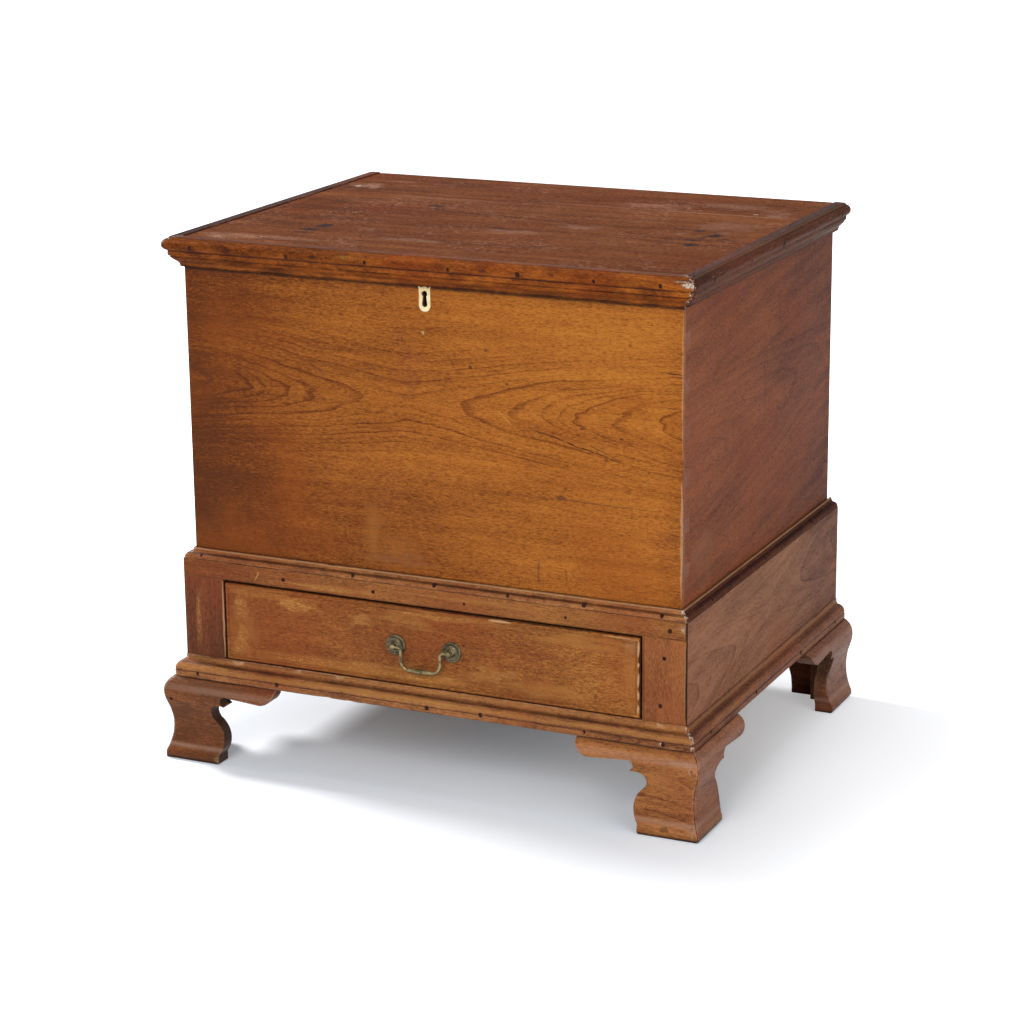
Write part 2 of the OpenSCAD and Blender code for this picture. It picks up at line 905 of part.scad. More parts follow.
module drawer_runner_right() {
    color(poplar)
        drawer_runner();
}

module drawer_runner_left() {
    color(poplar)
        mirror([1, 0, 0])
            drawer_runner();
}

module drawer_guide() {
    box(opening_x, side_x - frame_t, front_y + frame_t, back_y - frame_t,
        drawer_floor_z, drawer_floor_z + guide_h);
}

module drawer_guide_right() {
    color(poplar)
        drawer_guide();
}

module drawer_guide_left() {
    color(poplar)
        mirror([1, 0, 0])
            drawer_guide();
}

module drawer_stops() {
    color(poplar)
        for (x = [-stop_offset, stop_offset])
            box(x - stop_w / 2, x + stop_w / 2,
                front_y + drawer_front_t, front_y + drawer_front_t + stop_d,
                drawer_floor_z, drawer_floor_z + stop_h);
}

// Base moulding: distance from the frame, and height above the feet
function base_profile() =
    let (
        round_x = base_mould_out - 0.2 - base_round_r,
        round_z = base_band_h + 1.8,
        lip = 1.2
    )
    concat(
        [[0, 0], [base_mould_out, 0], [base_mould_out, base_band_h]],
        [[base_mould_out - 1, base_band_h + 0.8]],
        arc_points(round_x, round_z, base_round_r, 0, 82, 9),
        [[round_x - 0.3, round_z + base_round_r + 0.4], [lip, round_z + base_round_r + 2.4]],
        [[lip, bottom_rail_h], [0, bottom_rail_h]]
    );

module base_moulding_front() {
    color(walnut_gold)
        intersection() {
            along_x(-side_x - base_mould_out, frame_w + 2 * base_mould_out)
                polygon([for (p = base_profile()) [front_y - p[0], foot_h + p[1]]]);
            along_z(foot_h - over, bottom_rail_h + 2 * over)
                front_plan(side_x, front_y, 0, base_mould_out);
        }
}

module base_moulding_side() {
    intersection() {
        along_y(front_y - base_mould_out, frame_d + base_mould_out)
            polygon([for (p = base_profile()) [side_x + p[0], foot_h + p[1]]]);
        along_z(foot_h - over, bottom_rail_h + 2 * over)
            side_plan(side_x, front_y, 0, base_mould_out, back_y);
    }
}

module base_moulding_right() {
    color(walnut_red)
        base_moulding_side();
}

module base_moulding_left() {
    color(walnut_red)
        mirror([1, 0, 0])
            base_moulding_side();
}

// Section of an ogee foot: distance from the frame, and height above the floor.
// A full round, a hollow that meets it smoothly, and an upright pad.
function foot_profile() =
    let (
        bulge_z = foot_h - foot_bulge_drop,
        depth = foot_out - foot_waist_out,
        radii = ((bulge_z - foot_waist_z) ^ 2 + depth ^ 2) / (2 * depth),
        cove_r = radii - foot_bulge_r,
        bulge_x = foot_out - foot_bulge_r,
        cove_x = foot_waist_out + cove_r,
        turn = atan2(foot_waist_z - bulge_z, cove_x - bulge_x),
        flare = asin((foot_waist_z - foot_pad_h) / cove_r),
        neck = foot_out - base_mould_out,
        top_r = (neck ^ 2 + foot_bulge_drop ^ 2) / (2 * neck),
        top_turn = asin(foot_bulge_drop / top_r)
    )
    concat(
        [[0, 0], [foot_out - 1, 0], [foot_out, 1.5]],
        arc_points(cove_x, foot_waist_z, cove_r, 180 + flare, 180 + turn, 8),
        arc_points(bulge_x, bulge_z, foot_bulge_r, 0.8 * turn, 0, 4),
        arc_points(foot_out - top_r, bulge_z, top_r, top_turn / 7, top_turn, 6),
        [[0, foot_h]]
    );

// Outline of an ogee foot: distance from its corner, and height above the floor.
// Pad, lobe, scoop, cusp, notch and wing, from the floor upwards.
function foot_outline() =
    let (
        lobe_z = foot_h - lobe_drop,
        lobe_low = lobe_z - pad_edge_h,
        lobe_x = foot_pad_w - sqrt(lobe_r ^ 2 - lobe_low ^ 2)
    )
    concat(
        [[0, 0], [foot_pad_w, 0]],
        arc_points(lobe_x, lobe_z, lobe_r, -asin(lobe_low / lobe_r), 57, 10),
        arc_points(foot_pad_w + 0.5, foot_h - scoop_drop, scoop_r, 205, 90, 7),
        arc_points(foot_pad_w + notch_past, foot_h - notch_drop, notch_r, 253, 75, 9),
        arc_points(foot_l - wing_h, foot_h, wing_h, 270, 360, 7),
        [[0, foot_h]]
    );

// Face piece of the right front foot, mitred at the corner
module foot_face() {
    corner_x = side_x + foot_out;
    intersection() {
        along_y(front_y - foot_out, foot_out)
            polygon([for (p = foot_outline()) [corner_x - p[0], p[1]]]);
        along_x(corner_x - foot_l, foot_l)
            polygon([for (p = foot_profile()) [front_y - p[0], p[1]]]);
        along_z(-over, foot_h + 2 * over)
            front_plan(side_x, front_y, 0, foot_out);
    }
}

// Side piece of the right front foot
module foot_side() {
    corner_y = front_y - foot_out;
    intersection() {
        along_x(side_x, foot_out)
            polygon([for (p = foot_outline()) [corner_y + p[0], p[1]]]);
        along_y(corner_y, foot_l)
            polygon([for (p = foot_profile()) [side_x + p[0], p[1]]]);
        along_z(-over, foot_h + 2 * over)
            side_plan(side_x, front_y, 0, foot_out, back_y);
    }
}

// Side piece of the right rear foot, square at the back
module rear_foot_side() {
    intersection() {
        along_x(side_x, foot_out)
            polygon([for (p = foot_outline()) [back_y - p[0], p[1]]]);
        along_y(back_y - foot_l, foot_l)
            polygon([for (p = foot_profile()) [side_x + p[0], p[1]]]);
    }
}

// Plain bracket across the back of the right rear foot
module rear_bracket() {
    along_y(back_y - rear_bracket_t, rear_bracket_t)
        polygon(concat(
            [[side_x, 0], [side_x, foot_h], [side_x - foot_l + foot_out, foot_h]],
            [
                for (a = [0:10:90])
                    [
                        side_x - foot_pad_w + foot_out
                            - (foot_l - foot_pad_w) * (1 - sin(a)),
                        wing_h / 2 + (foot_h - 1.5 * wing_h) * cos(a)
                    ]
            ],
            [[side_x - foot_pad_w + foot_out, 0]]
        ));
}

module foot_front_right_face() {
    color(walnut_gold)
        foot_face();
}

module foot_front_left_face() {
    color(walnut_gold)
        mirror([1, 0, 0])
            foot_face();
}

module foot_front_right_side() {
    color(walnut_red)
        foot_side();
}

module foot_front_left_side() {
    color(walnut_red)
        mirror([1, 0, 0])
            foot_side();
}

module foot_rear_right_side() {
    color(walnut_red)
        rear_foot_side();
}

module foot_rear_left_side() {
    color(walnut_red)
        mirror([1, 0, 0])
            rear_foot_side();
}

module foot_rear_right_bracket() {
    color(walnut_dark)
        rear_bracket();
}

module foot_rear_left_bracket() {
    color(walnut_dark)
        mirror([1, 0, 0])
            rear_bracket();
}

// Glue blocks of the right side: upright in the corners, level along the wings
module foot_blocks_right() {
    rear_face_y = back_y - rear_bracket_t;
    block_x = side_x - corner_block;
    box(block_x, side_x, front_y, front_y + corner_block, block_lift, foot_h);
    box(block_x, side_x, rear_face_y - corner_block, rear_face_y, block_lift, foot_h);
    box(block_x - wing_block_l, block_x, front_y, front_y + wing_block,
        foot_h - wing_block, foot_h);
    box(side_x - wing_block, side_x, front_y + corner_block,
        front_y + corner_block + wing_block_l, foot_h - wing_block, foot_h);
    box(side_x - wing_block, side_x, rear_face_y - corner_block - wing_block_l,
        rear_face_y - corner_block, foot_h - wing_block, foot_h);
}

module foot_glue_blocks() {
    color(poplar) {
        foot_blocks_right();
        mirror([1, 0, 0])
            foot_blocks_right();
    }
}

// Drawer

drawer_d = frame_d - frame_t - drawer_back_room;
drawer_left_x = -opening_x + drawer_gap_left;
drawer_right_x = opening_x - drawer_gap_right;
drawer_mid_x = (drawer_left_x + drawer_right_x) / 2;
drawer_half_w = (drawer_right_x - drawer_left_x) / 2;
drawer_front_z = drawer_floor_z + drawer_gap_bottom;
drawer_front_top_z = drawer_roof_z - drawer_gap_top;
drawer_front_h = drawer_front_top_z - drawer_front_z;
drawer_inner_y = front_y + drawer_front_t;
drawer_end_y = front_y + drawer_d;
drawer_side_top_z = drawer_floor_z + drawer_side_h;
drawer_bottom_z = drawer_floor_z + drawer_bottom_rise;
drawer_inside_z = drawer_bottom_z + drawer_bottom_t;
drawer_inner_half = drawer_half_w - drawer_side_t;

module drawer_bottom_panel() {
    box(drawer_mid_x - drawer_inner_half - drawer_groove,
        drawer_mid_x + drawer_inner_half + drawer_groove,
        drawer_inner_y - drawer_groove, drawer_end_y, drawer_bottom_z, drawer_inside_z);
}

module drawer_tail_cuts(low, root, tip) {
    for (x = [drawer_left_x - over, drawer_right_x - drawer_side_t])
        along_x(x, drawer_side_t + over)
            tail_row(low, drawer_side_top_z, drawer_tail_pitch, drawer_pin_w, root, tip);
}

drawer_bead_r = scratch_inset / 2;

// Section of the drawer front across one pair of edges: its front arrises are round
function drawer_front_section(low, high) = concat(
    [[drawer_inner_y, low]],
    reversed(arc_points(front_y + drawer_bead_r, low + drawer_bead_r, drawer_bead_r, 180, 270, 5)),
    reversed(arc_points(front_y + drawer_bead_r, high - drawer_bead_r, drawer_bead_r, 90, 180, 5)),
    [[drawer_inner_y, high]]
);

// Scratched line that frames the drawer front and leaves a round bead outside it
module scratched_line() {
    w = 2 * drawer_half_w - 2 * scratch_inset;
    h = drawer_front_h - 2 * scratch_inset;
    translate([drawer_mid_x - w / 2, drawer_front_z + scratch_inset])
        difference() {
            square([w, h]);
            translate([scratch_w, scratch_w])
                square([w - 2 * scratch_w, h - 2 * scratch_w]);
        }
}

module drawer_front() {
    color(walnut_gold)
        difference() {
            intersection() {
                along_x(drawer_left_x, 2 * drawer_half_w)
                    polygon(drawer_front_section(drawer_front_z, drawer_front_top_z));
                along_z(drawer_front_z, drawer_front_h)
                    polygon([
                        for (p = drawer_front_section(drawer_left_x, drawer_right_x)) [p[1], p[0]]
                    ]);
            }
            drawer_tail_cuts(drawer_floor_z, drawer_inner_y, front_y + drawer_lap);
            drawer_bottom_panel();
            along_y(front_y - over, scratch_depth + over)
                scratched_line();
            for (x = [-handle_half, handle_half])
                post_line(x, post_shank_r, front_y - over, drawer_inner_y + over);
        }
}

module drawer_side(x) {
    front_edge = tail_edge(drawer_floor_z, drawer_side_top_z, drawer_tail_pitch, drawer_pin_w,
                           drawer_inner_y, front_y + drawer_lap);
    back_edge = tail_edge(drawer_inside_z, drawer_side_top_z, drawer_tail_pitch, drawer_pin_w,
                          drawer_end_y - drawer_back_t, drawer_end_y);
    difference() {
        along_x(x, drawer_side_t)
            polygon(concat(
                [[drawer_inner_y, drawer_floor_z]], front_edge,
                [[drawer_inner_y, drawer_side_top_z]],
                [[drawer_end_y - drawer_back_t, drawer_side_top_z]], reversed(back_edge),
                [[drawer_end_y - drawer_back_t, drawer_inside_z]],
                [[drawer_end_y, drawer_inside_z], [drawer_end_y, drawer_floor_z]]
            ));
        drawer_bottom_panel();
    }
}

module drawer_side_left() {
    color(poplar)
        drawer_side(drawer_left_x);
}

module drawer_side_right() {
    color(poplar)
        drawer_side(drawer_right_x - drawer_side_t);
}

module drawer_back() {
    color(poplar)
        difference() {
            box(drawer_left_x, drawer_right_x, drawer_end_y - drawer_back_t, drawer_end_y,
                drawer_inside_z, drawer_side_top_z);
            drawer_tail_cuts(drawer_inside_z, drawer_end_y - drawer_back_t, drawer_end_y);
        }
}

module drawer_bottom() {
    color(poplar)
        drawer_bottom_panel();
}

// Handle

handle_x = drawer_mid_x + handle_shift;
handle_z = (drawer_front_z + drawer_front_top_z) / 2;
handle_half = handle_centres / 2;
bail_y = front_y - post_reach;

// Cylinder along Y at a post, given its distance from the middle of the handle
module post_line(x, r, y0, y1) {
    translate([handle_x + x, y0, handle_z])
        rotate([-90, 0, 0])
            cylinder(h = y1 - y0, r = r);
}

module rosette() {
    rotate([90, 0, 0])
        rotate_extrude()
            polygon([
                [post_shank_r, 0], [rosette_r, 0], [rosette_r, 0.9],
                [rosette_r - 1, 1.7], [rosette_r - 2.2, 1.2], [rosette_r - 3, 1.9],
                [rosette_r - 5.4, rosette_h * 0.64], [rosette_r - 8, rosette_h * 0.86],
                [post_ball_r, rosette_h * 0.88], [post_ball_r, rosette_h],
                [post_shank_r, rosette_h]
            ]);
}

module handle_rosettes() {
    color(brass)
        for (x = [-handle_half, handle_half])
            translate([handle_x + x, front_y, handle_z])
                rosette();
}

// Shank and ball of one post, turned about the axis of the shank
module post() {
    neck = acos(post_shank_r / post_ball_r);
    end = drawer_front_t + nut_t + over;
    rotate([90, 0, 0])
        rotate_extrude()
            polygon(concat(
                [[0, -end], [post_shank_r, -end]],
                arc_points(0, post_reach, post_ball_r, -neck, 75, 9),
                [[0, post_reach + post_ball_r]]
            ));
}

module handle_posts() {
    color(brass)
        for (x = [-handle_half, handle_half])
            difference() {
                translate([handle_x + x, front_y, handle_z])
                    post();
                translate([handle_x + x - 2 * post_ball_r, bail_y, handle_z])
                    rotate([0, 90, 0])
                        cylinder(h = 4 * post_ball_r, r = bail_r + bail_fit);
            }
}

module handle_nuts() {
    color(brass)
        for (x = [-handle_half, handle_half])
            difference() {
                translate([handle_x + x - nut_w / 2, drawer_inner_y, handle_z - nut_w / 2])
                    cube([nut_w, nut_t, nut_w]);
                post_line(x, post_shank_r, drawer_inner_y - over, drawer_inner_y + nut_t + over);
            }
}

// Right half of the bail about its pivot, hanging in the plane of the posts
module bail_half() {
    arm_x = handle_half - bail_arm_in;
    tail_x = arm_x + bail_top_bend;
    grip_half = arm_x - bail_low_bend;
    translate([tail_x, 0, 0])
        rotate([0, 90, 0])
            cylinder(h = handle_half + bail_tail - tail_x, r = bail_r);
    translate([tail_x, 0, -bail_top_bend])
        rotate([90, 0, 0])
            rotate([0, 0, 90])
                rotate_extrude(angle = 90)
                    translate([bail_top_bend, 0])
                        circle(r = bail_r);
    translate([arm_x, 0, -bail_drop + bail_low_bend])
        cylinder(h = bail_drop - bail_low_bend - bail_top_bend, r = bail_r);
    translate([grip_half, 0, -bail_drop + bail_low_bend])
        rotate([90, 0, 0])
            rotate([0, 0, -90])
                rotate_extrude(angle = 90)
                    translate([bail_low_bend, 0])
                        circle(r = bail_r);
}

// Swelling bar between the lower bends
module bail_grip() {
    half = handle_half - bail_arm_in - bail_low_bend;
    translate([0, 0, -bail_drop])
        rotate([0, 90, 0])
            rotate_extrude()
                polygon(concat(
                    [[0, -half]],
                    [
                        for (i = [-6:6])
                            [bail_r + (bail_grip_r - bail_r) * cos(15 * i) ^ 2, half * i / 6]
                    ],
                    [[0, half]]
                ));
}

module handle_bail() {
    color(brass)
        translate([handle_x, bail_y, handle_z])
            union() {
                bail_grip();
                bail_half();
                mirror([1, 0, 0])
                    bail_half();
            }
}

case_front();
case_back();
case_side_left();
case_side_right();
case_bottom();
case_divider();
keyhole_escutcheon();
lock_case();
lock_bolt();
lock_catch();
hinge_case_leaf_left();
hinge_case_leaf_right();
hinge_lid_leaf_left();
hinge_lid_leaf_right();
hinge_pins();
lid_board_front();
lid_board_back();
lid_moulding_front();
lid_moulding_left();
lid_moulding_right();
waist_moulding_front();
waist_moulding_left();
waist_moulding_right();
frame_top_rail();
frame_bottom_rail();
frame_stile_left();
frame_stile_right();
frame_side_left();
frame_side_right();
frame_back();
drawer_runner_left();
drawer_runner_right();
drawer_guide_left();
drawer_guide_right();
drawer_stops();
base_moulding_front();
base_moulding_left();
base_moulding_right();
foot_front_left_face();
foot_front_left_side();
foot_front_right_face();
foot_front_right_side();
foot_rear_left_side();
foot_rear_left_bracket();
foot_rear_right_side();
foot_rear_right_bracket();
foot_glue_blocks();
drawer_front();
drawer_side_left();
drawer_side_right();
drawer_back();
drawer_bottom();
handle_rosettes();
handle_posts();
handle_nuts();
handle_bail();
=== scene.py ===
import json
from math import cos, pi, radians, sin

import bmesh
import bpy
from mathutils import Matrix, Vector, noise
from mathutils.bvhtree import BVHTree


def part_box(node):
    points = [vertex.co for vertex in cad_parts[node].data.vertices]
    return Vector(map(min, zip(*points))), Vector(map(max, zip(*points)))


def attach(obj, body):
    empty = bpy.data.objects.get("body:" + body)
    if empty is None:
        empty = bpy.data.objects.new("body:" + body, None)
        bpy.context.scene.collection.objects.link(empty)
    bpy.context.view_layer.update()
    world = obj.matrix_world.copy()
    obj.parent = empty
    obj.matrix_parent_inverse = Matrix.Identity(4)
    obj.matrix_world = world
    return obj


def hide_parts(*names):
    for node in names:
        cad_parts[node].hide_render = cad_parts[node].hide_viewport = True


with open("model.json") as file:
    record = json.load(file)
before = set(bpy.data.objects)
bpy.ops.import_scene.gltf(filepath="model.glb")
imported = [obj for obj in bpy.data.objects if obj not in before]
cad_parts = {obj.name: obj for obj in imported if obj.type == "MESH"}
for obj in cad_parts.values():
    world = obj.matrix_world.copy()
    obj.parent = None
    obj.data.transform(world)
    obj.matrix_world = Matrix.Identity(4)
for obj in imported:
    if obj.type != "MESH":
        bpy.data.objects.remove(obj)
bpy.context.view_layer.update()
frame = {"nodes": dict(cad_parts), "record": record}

scene = bpy.context.scene
cadNodes = frame["nodes"]
print("chest: the packed frame is loaded,", len(cadNodes), "solids")


# helpers for the shader trees

def screen(red, green, blue):
    # a colour as a screen shows it, 0 to 255, turned to the linear value a socket takes
    channels = []
    for value in (red, green, blue):
        value = value / 255
        channels.append(value / 12.92 if value <= 0.04045 else ((value + 0.055) / 1.055) ** 2.4)
    return (*channels, 1.0)


def feed(tree, value, socket):
    if isinstance(value, bpy.types.NodeSocket):
        tree.links.new(value, socket)
    else:
        socket.default_value = value


def addNode(tree, kind, values=None, **settings):
    node = tree.nodes.new(kind)
    for name, setting in settings.items():
        setattr(node, name, setting)
    for name, value in (values or {}).items():
        feed(tree, value, node.inputs[name])
    return node


def calc(tree, operation, *values):
    node = addNode(tree, "ShaderNodeMath", operation=operation)
    for socket, value in zip(node.inputs, values):
        feed(tree, value, socket)
    return node.outputs[0]


def plus(tree, first, second):
    return calc(tree, "ADD", first, second)


def minus(tree, first, second):
    return calc(tree, "SUBTRACT", first, second)


def times(tree, first, second):
    return calc(tree, "MULTIPLY", first, second)


def joined(tree, **parts):
    return addNode(tree, "ShaderNodeCombineXYZ", parts).outputs[0]


def parted(tree, vector):
    return addNode(tree, "ShaderNodeSeparateXYZ", {"Vector": vector}).outputs


def vectorCalc(tree, operation, *values):
    node = addNode(tree, "ShaderNodeVectorMath", operation=operation)
    for socket, value in zip(node.inputs, values):
        feed(tree, value, socket)
    single = operation in ("LENGTH", "DISTANCE", "DOT_PRODUCT")
    return node.outputs["Value" if single else "Vector"]


def remap(tree, value, low, high, toLow=0.0, toHigh=1.0):
    names = {"Value": value, "From Min": low, "From Max": high, "To Min": toLow, "To Max": toHigh}
    return addNode(tree, "ShaderNodeMapRange", names, interpolation_type="SMOOTHSTEP").outputs[0]


def cloud(tree, vector, scale, detail=2.0, rough=0.5, output="Fac"):
    values = {"Vector": vector, "Scale": scale, "Detail": detail, "Roughness": rough}
    return addNode(tree, "ShaderNodeTexNoise", values).outputs[output]


def mixColour(tree, factor, first, second, mode="MIX"):
    node = addNode(tree, "ShaderNodeMix", data_type="RGBA", blend_type=mode)
    for index, value in ((0, factor), (6, first), (7, second)):
        feed(tree, value, node.inputs[index])
    return node.outputs[2]


def tinted(tree, colour, shade, mask, share):
    # another colour laid over the first one where the mask lets it show
    return mixColour(tree, times(tree, mask, share), colour, screen(*shade))


def colourSteps(tree, factor, steps):
    node = addNode(tree, "ShaderNodeValToRGB", {"Fac": factor})
    marks = node.color_ramp.elements
    while len(marks) < len(steps):
        marks.new(0.5)
    for mark, (place, colour) in zip(marks, steps):
        mark.position = place
        mark.color = colour
    return node.outputs[0]


def newGroup(name, inputs, outputs):
    tree = bpy.data.node_groups.new(name, "ShaderNodeTree")
    for label, start in inputs.items():
        kind = "NodeSocketVector" if isinstance(start, tuple) else "NodeSocketFloat"
        tree.interface.new_socket(label, in_out="INPUT", socket_type=kind).default_value = start
    for label in outputs:
        tree.interface.new_socket(label, in_out="OUTPUT", socket_type="NodeSocketFloat")
    return tree, tree.nodes.new("NodeGroupInput").outputs, tree.nodes.new("NodeGroupOutput").inputs


def useGroup(tree, group, values):
    node = addNode(tree, "ShaderNodeGroup", node_tree=group)
    for label, value in values.items():
        feed(tree, value, node.inputs[label])
    return node.outputs


def newMaterial(name):
    material = bpy.data.materials.new(name)
    material.use_nodes = True
    material.node_tree.nodes.clear()
    return material, material.node_tree


def addSkin(tree, values, gloss=0.5):
    skin = addNode(tree, "ShaderNodeBsdfPrincipled", values)
    skin.inputs["Specular IOR Level"].default_value = gloss
    addNode(tree, "ShaderNodeOutputMaterial", {"Surface": skin.outputs[0]})


def newObject(name, data):
    piece = bpy.data.objects.new(name, data)
    scene.collection.objects.link(piece)
    return piece


# shared effects, each a group built once
noiseMiddle = (0.5, 0.5, 0.5)  # what a noise colour is on average
# for each layer of the grain: scale along and across it, detail and roughness
grainLayers = {"sway": (3.0, 9.0, 4.0, 0.62), "some": (9.0, 26.0, 2.0, 0.5),
               "Fibre": (12.0, 300.0, 4.0, 0.65), "Mottle": (3.2, 6.5, 4.0, 0.6),
               "Streak": (4.0, 60.0, 3.0, 0.6), "Blotch": (26.0, 62.0, 4.0, 0.62)}
poreLayers = ((150.0, 640.0, 1.0), (330.0, 1350.0, 0.9))  # scale along and across, and share


def buildBoardGrain():
    # X of the vector runs along the grain, Y across the face and Z into the board
    tree, given, result = newGroup(
        "boardGrain",
        {"Vector": (0.0, 0.0, 0.0), "Seed": 0.0, "Pith Depth": 0.04, "Slope": 0.1, "Round": 0.03,
         "Ring Gap": 0.004, "Wander": 0.006, "Figure Width": 0.08},
        ("Ring", "Ring Tone", "Fibre", "Fleck", "Pores", "Mottle", "Streak", "Blotch"))
    seed = given["Seed"]
    shift = joined(tree, X=times(tree, seed, 1.37), Y=times(tree, seed, 0.71), Z=seed)

    def layer(vector, along, across, detail, rough, output="Fac"):
        stretched = vectorCalc(tree, "MULTIPLY", vector, (along, across, across))
        return cloud(tree, stretched, 1.0, detail, rough, output)

    # the growth rings are cones round a pith line that bends a little
    place = vectorCalc(tree, "ADD", given["Vector"], shift)
    sway = vectorCalc(tree, "SUBTRACT", layer(place, *grainLayers["sway"], "Color"), noiseMiddle)
    reach = joined(tree, Y=given["Wander"], Z=given["Wander"])
    bent = vectorCalc(tree, "ADD", given["Vector"], vectorCalc(tree, "MULTIPLY", sway, reach))
    along, across, depth = parted(tree, bent)
    inward = plus(tree, depth, given["Pith Depth"])
    radius = calc(tree, "SQRT", plus(tree, times(tree, across, across), times(tree, inward, inward)))
    roundness = times(tree, given["Round"], given["Round"])
    run = calc(tree, "SQRT", plus(tree, times(tree, along, along), roundness))
    radius = minus(tree, radius, times(tree, run, given["Slope"]))
    rings = calc(tree, "DIVIDE", radius, given["Ring Gap"])
    uneven = joined(tree, X=times(tree, radius, 70.0), Y=seed)
    rings = plus(tree, rings, times(tree, cloud(tree, uneven, 1.0, 1.0), 3.0))
    phase = calc(tree, "FRACT", rings)
    late = times(tree, remap(tree, phase, 0.6, 0.95), remap(tree, phase, 0.95, 1.0, 1.0, 0.0))
    number = plus(tree, calc(tree, "FLOOR", rings), seed)
    pick = addNode(tree, "ShaderNodeTexWhiteNoise", {"W": number}, noise_dimensions="1D")
    pick = pick.outputs["Value"]
    near = calc(tree, "DIVIDE", calc(tree, "ABSOLUTE", across), given["Figure Width"])
    near = remap(tree, near, 0.4, 1.5, 1.0, 0.22)
    some = remap(tree, layer(place, *grainLayers["some"]), 0.34, 0.58, 0.35, 1.0)
    lines = times(tree, times(tree, late, near), some)
    feed(tree, times(tree, lines, remap(tree, pick, 0.0, 1.0, 0.3, 1.0)), result["Ring"])
    feed(tree, times(tree, minus(tree, pick, 0.5), near), result["Ring Tone"])

    # short dark pores and flecks, then softer changes of tone
    shifted = vectorCalc(tree, "ADD", bent, shift)
    flecks, pores = 0.0, 0.0
    for length, width, share in poreLayers:
        dashes = layer(shifted, length, width, 2.0, 0.6)
        flecks = plus(tree, times(tree, minus(tree, dashes, 0.5), share), flecks)
        pores = calc(tree, "MAXIMUM", times(tree, remap(tree, dashes, 0.5, 0.7), share), pores)
    feed(tree, flecks, result["Fleck"])
    feed(tree, pores, result["Pores"])
    for label, vector in (("Fibre", shifted), ("Mottle", place), ("Streak", shifted), ("Blotch", place)):
        feed(tree, layer(vector, *grainLayers[label]), result[label])
    return tree


def buildWornEdgesAndShade():
    tree, given, result = newGroup("wornEdgesAndShade", {"Reach": 0.002, "Break Up": 70.0, "Seed": 0.0},
                                   ("Worn", "GrimeAndShade"))
    place = addNode(tree, "ShaderNodeTexCoord").outputs["Object"]
    soft = addNode(tree, "ShaderNodeBevel", {"Radius": given["Reach"]}, samples=4).outputs[0]
    flat = addNode(tree, "ShaderNodeNewGeometry").outputs["Normal"]
    turn = minus(tree, 1.0, vectorCalc(tree, "DOT_PRODUCT", soft, flat))
    near = addNode(tree, "ShaderNodeAmbientOcclusion", {"Distance": 0.005}, samples=4, only_local=True)
    outer = remap(tree, near.outputs["AO"], 0.72, 0.95)
    place = vectorCalc(tree, "ADD", place, joined(tree, X=given["Seed"], Z=given["Seed"]))
    patches = cloud(tree, place, given["Break Up"], 4.0, 0.65)
    wide = cloud(tree, place, 9.0, 2.0, 0.5)
    patches = plus(tree, patches, times(tree, minus(tree, wide, 0.5), 0.9))
    edge = times(tree, remap(tree, turn, 0.01, 0.2), outer)
    feed(tree, times(tree, edge, remap(tree, patches, 0.42, 0.7)), result["Worn"])
    # painted shade: darker where other surfaces are within 12 mm, part grime and part the shade that falls
    # in hollows
    far = addNode(tree, "ShaderNodeAmbientOcclusion", {"Distance": 0.012}, samples=4)
    feed(tree, remap(tree, far.outputs["AO"], 0.3, 0.8, 1.0, 0.0), result["GrimeAndShade"])
    return tree


def buildMarkSpot():
    tree, given, result = newGroup(
        "markSpot", {"Vector": (0.0, 0.0, 0.0), "Centre": (0.0, 0.0, 0.0), "Size": (0.01, 0.01, 0.01),
                     "Ragged": 0.6}, ("Mask",))
    away = vectorCalc(tree, "SUBTRACT", given["Vector"], given["Centre"])
    away = vectorCalc(tree, "DIVIDE", away, given["Size"])
    # the centre also moves the noise, so that no two spots are alike
    step = vectorCalc(tree, "MULTIPLY", given["Centre"], (37.0, 37.0, 37.0))
    lumps = cloud(tree, vectorCalc(tree, "ADD", away, step), 1.9, 5.0, 0.7, "Color")
    lumps = vectorCalc(tree, "SUBTRACT", lumps, noiseMiddle)
    spread = joined(tree, X=given["Ragged"], Y=given["Ragged"], Z=given["Ragged"])
    away = vectorCalc(tree, "ADD", away, vectorCalc(tree, "MULTIPLY", lumps, spread))
    feed(tree, remap(tree, vectorCalc(tree, "LENGTH", away), 0.3, 1.0, 1.0, 0.0), result["Mask"])
    return tree


def buildMarkLine():
    tree, given, result = newGroup(
        "markLine", {"Vector": (0.0, 0.0, 0.0), "Start": (0.0, 0.0, 0.0), "End": (0.1, 0.0, 0.0),
                     "Width": 0.001, "Wander": 0.002}, ("Mask",))
    sway = cloud(tree, given["Vector"], 55.0, 3.0, 0.6, "Color")
    sway = vectorCalc(tree, "SUBTRACT", sway, noiseMiddle)
    spread = joined(tree, X=given["Wander"], Y=given["Wander"], Z=given["Wander"])
    place = vectorCalc(tree, "ADD", given["Vector"], vectorCalc(tree, "MULTIPLY", sway, spread))
    whole = vectorCalc(tree, "SUBTRACT", given["End"], given["Start"])
    part = vectorCalc(tree, "SUBTRACT", place, given["Start"])
    share = calc(tree, "DIVIDE", vectorCalc(tree, "DOT_PRODUCT", part, whole),
                 vectorCalc(tree, "DOT_PRODUCT", whole, whole))
    share = calc(tree, "MINIMUM", calc(tree, "MAXIMUM", share, 0.0), 1.0)
    foot = addNode(tree, "ShaderNodeVectorMath", {"Scale": share}, operation="SCALE")
    feed(tree, whole, foot.inputs[0])
    gap = vectorCalc(tree, "DISTANCE", part, foot.outputs["Vector"])
    # a line is widest in its middle and thin at its ends
    middle = times(tree, times(tree, share, minus(tree, 1.0, share)), 4.0)
    width = times(tree, given["Width"], plus(tree, 0.25, times(tree, middle, 0.75)))
    feed(tree, remap(tree, calc(tree, "DIVIDE", gap, width), 0.35, 1.0, 1.0, 0.0), result["Mask"])
    return tree


groups = {
    "grain": buildBoardGrain(),
    "edges": buildWornEdgesAndShade(),
    "spot": buildMarkSpot(),
    "line": buildMarkLine(),
}
print("chest: shader groups are built")


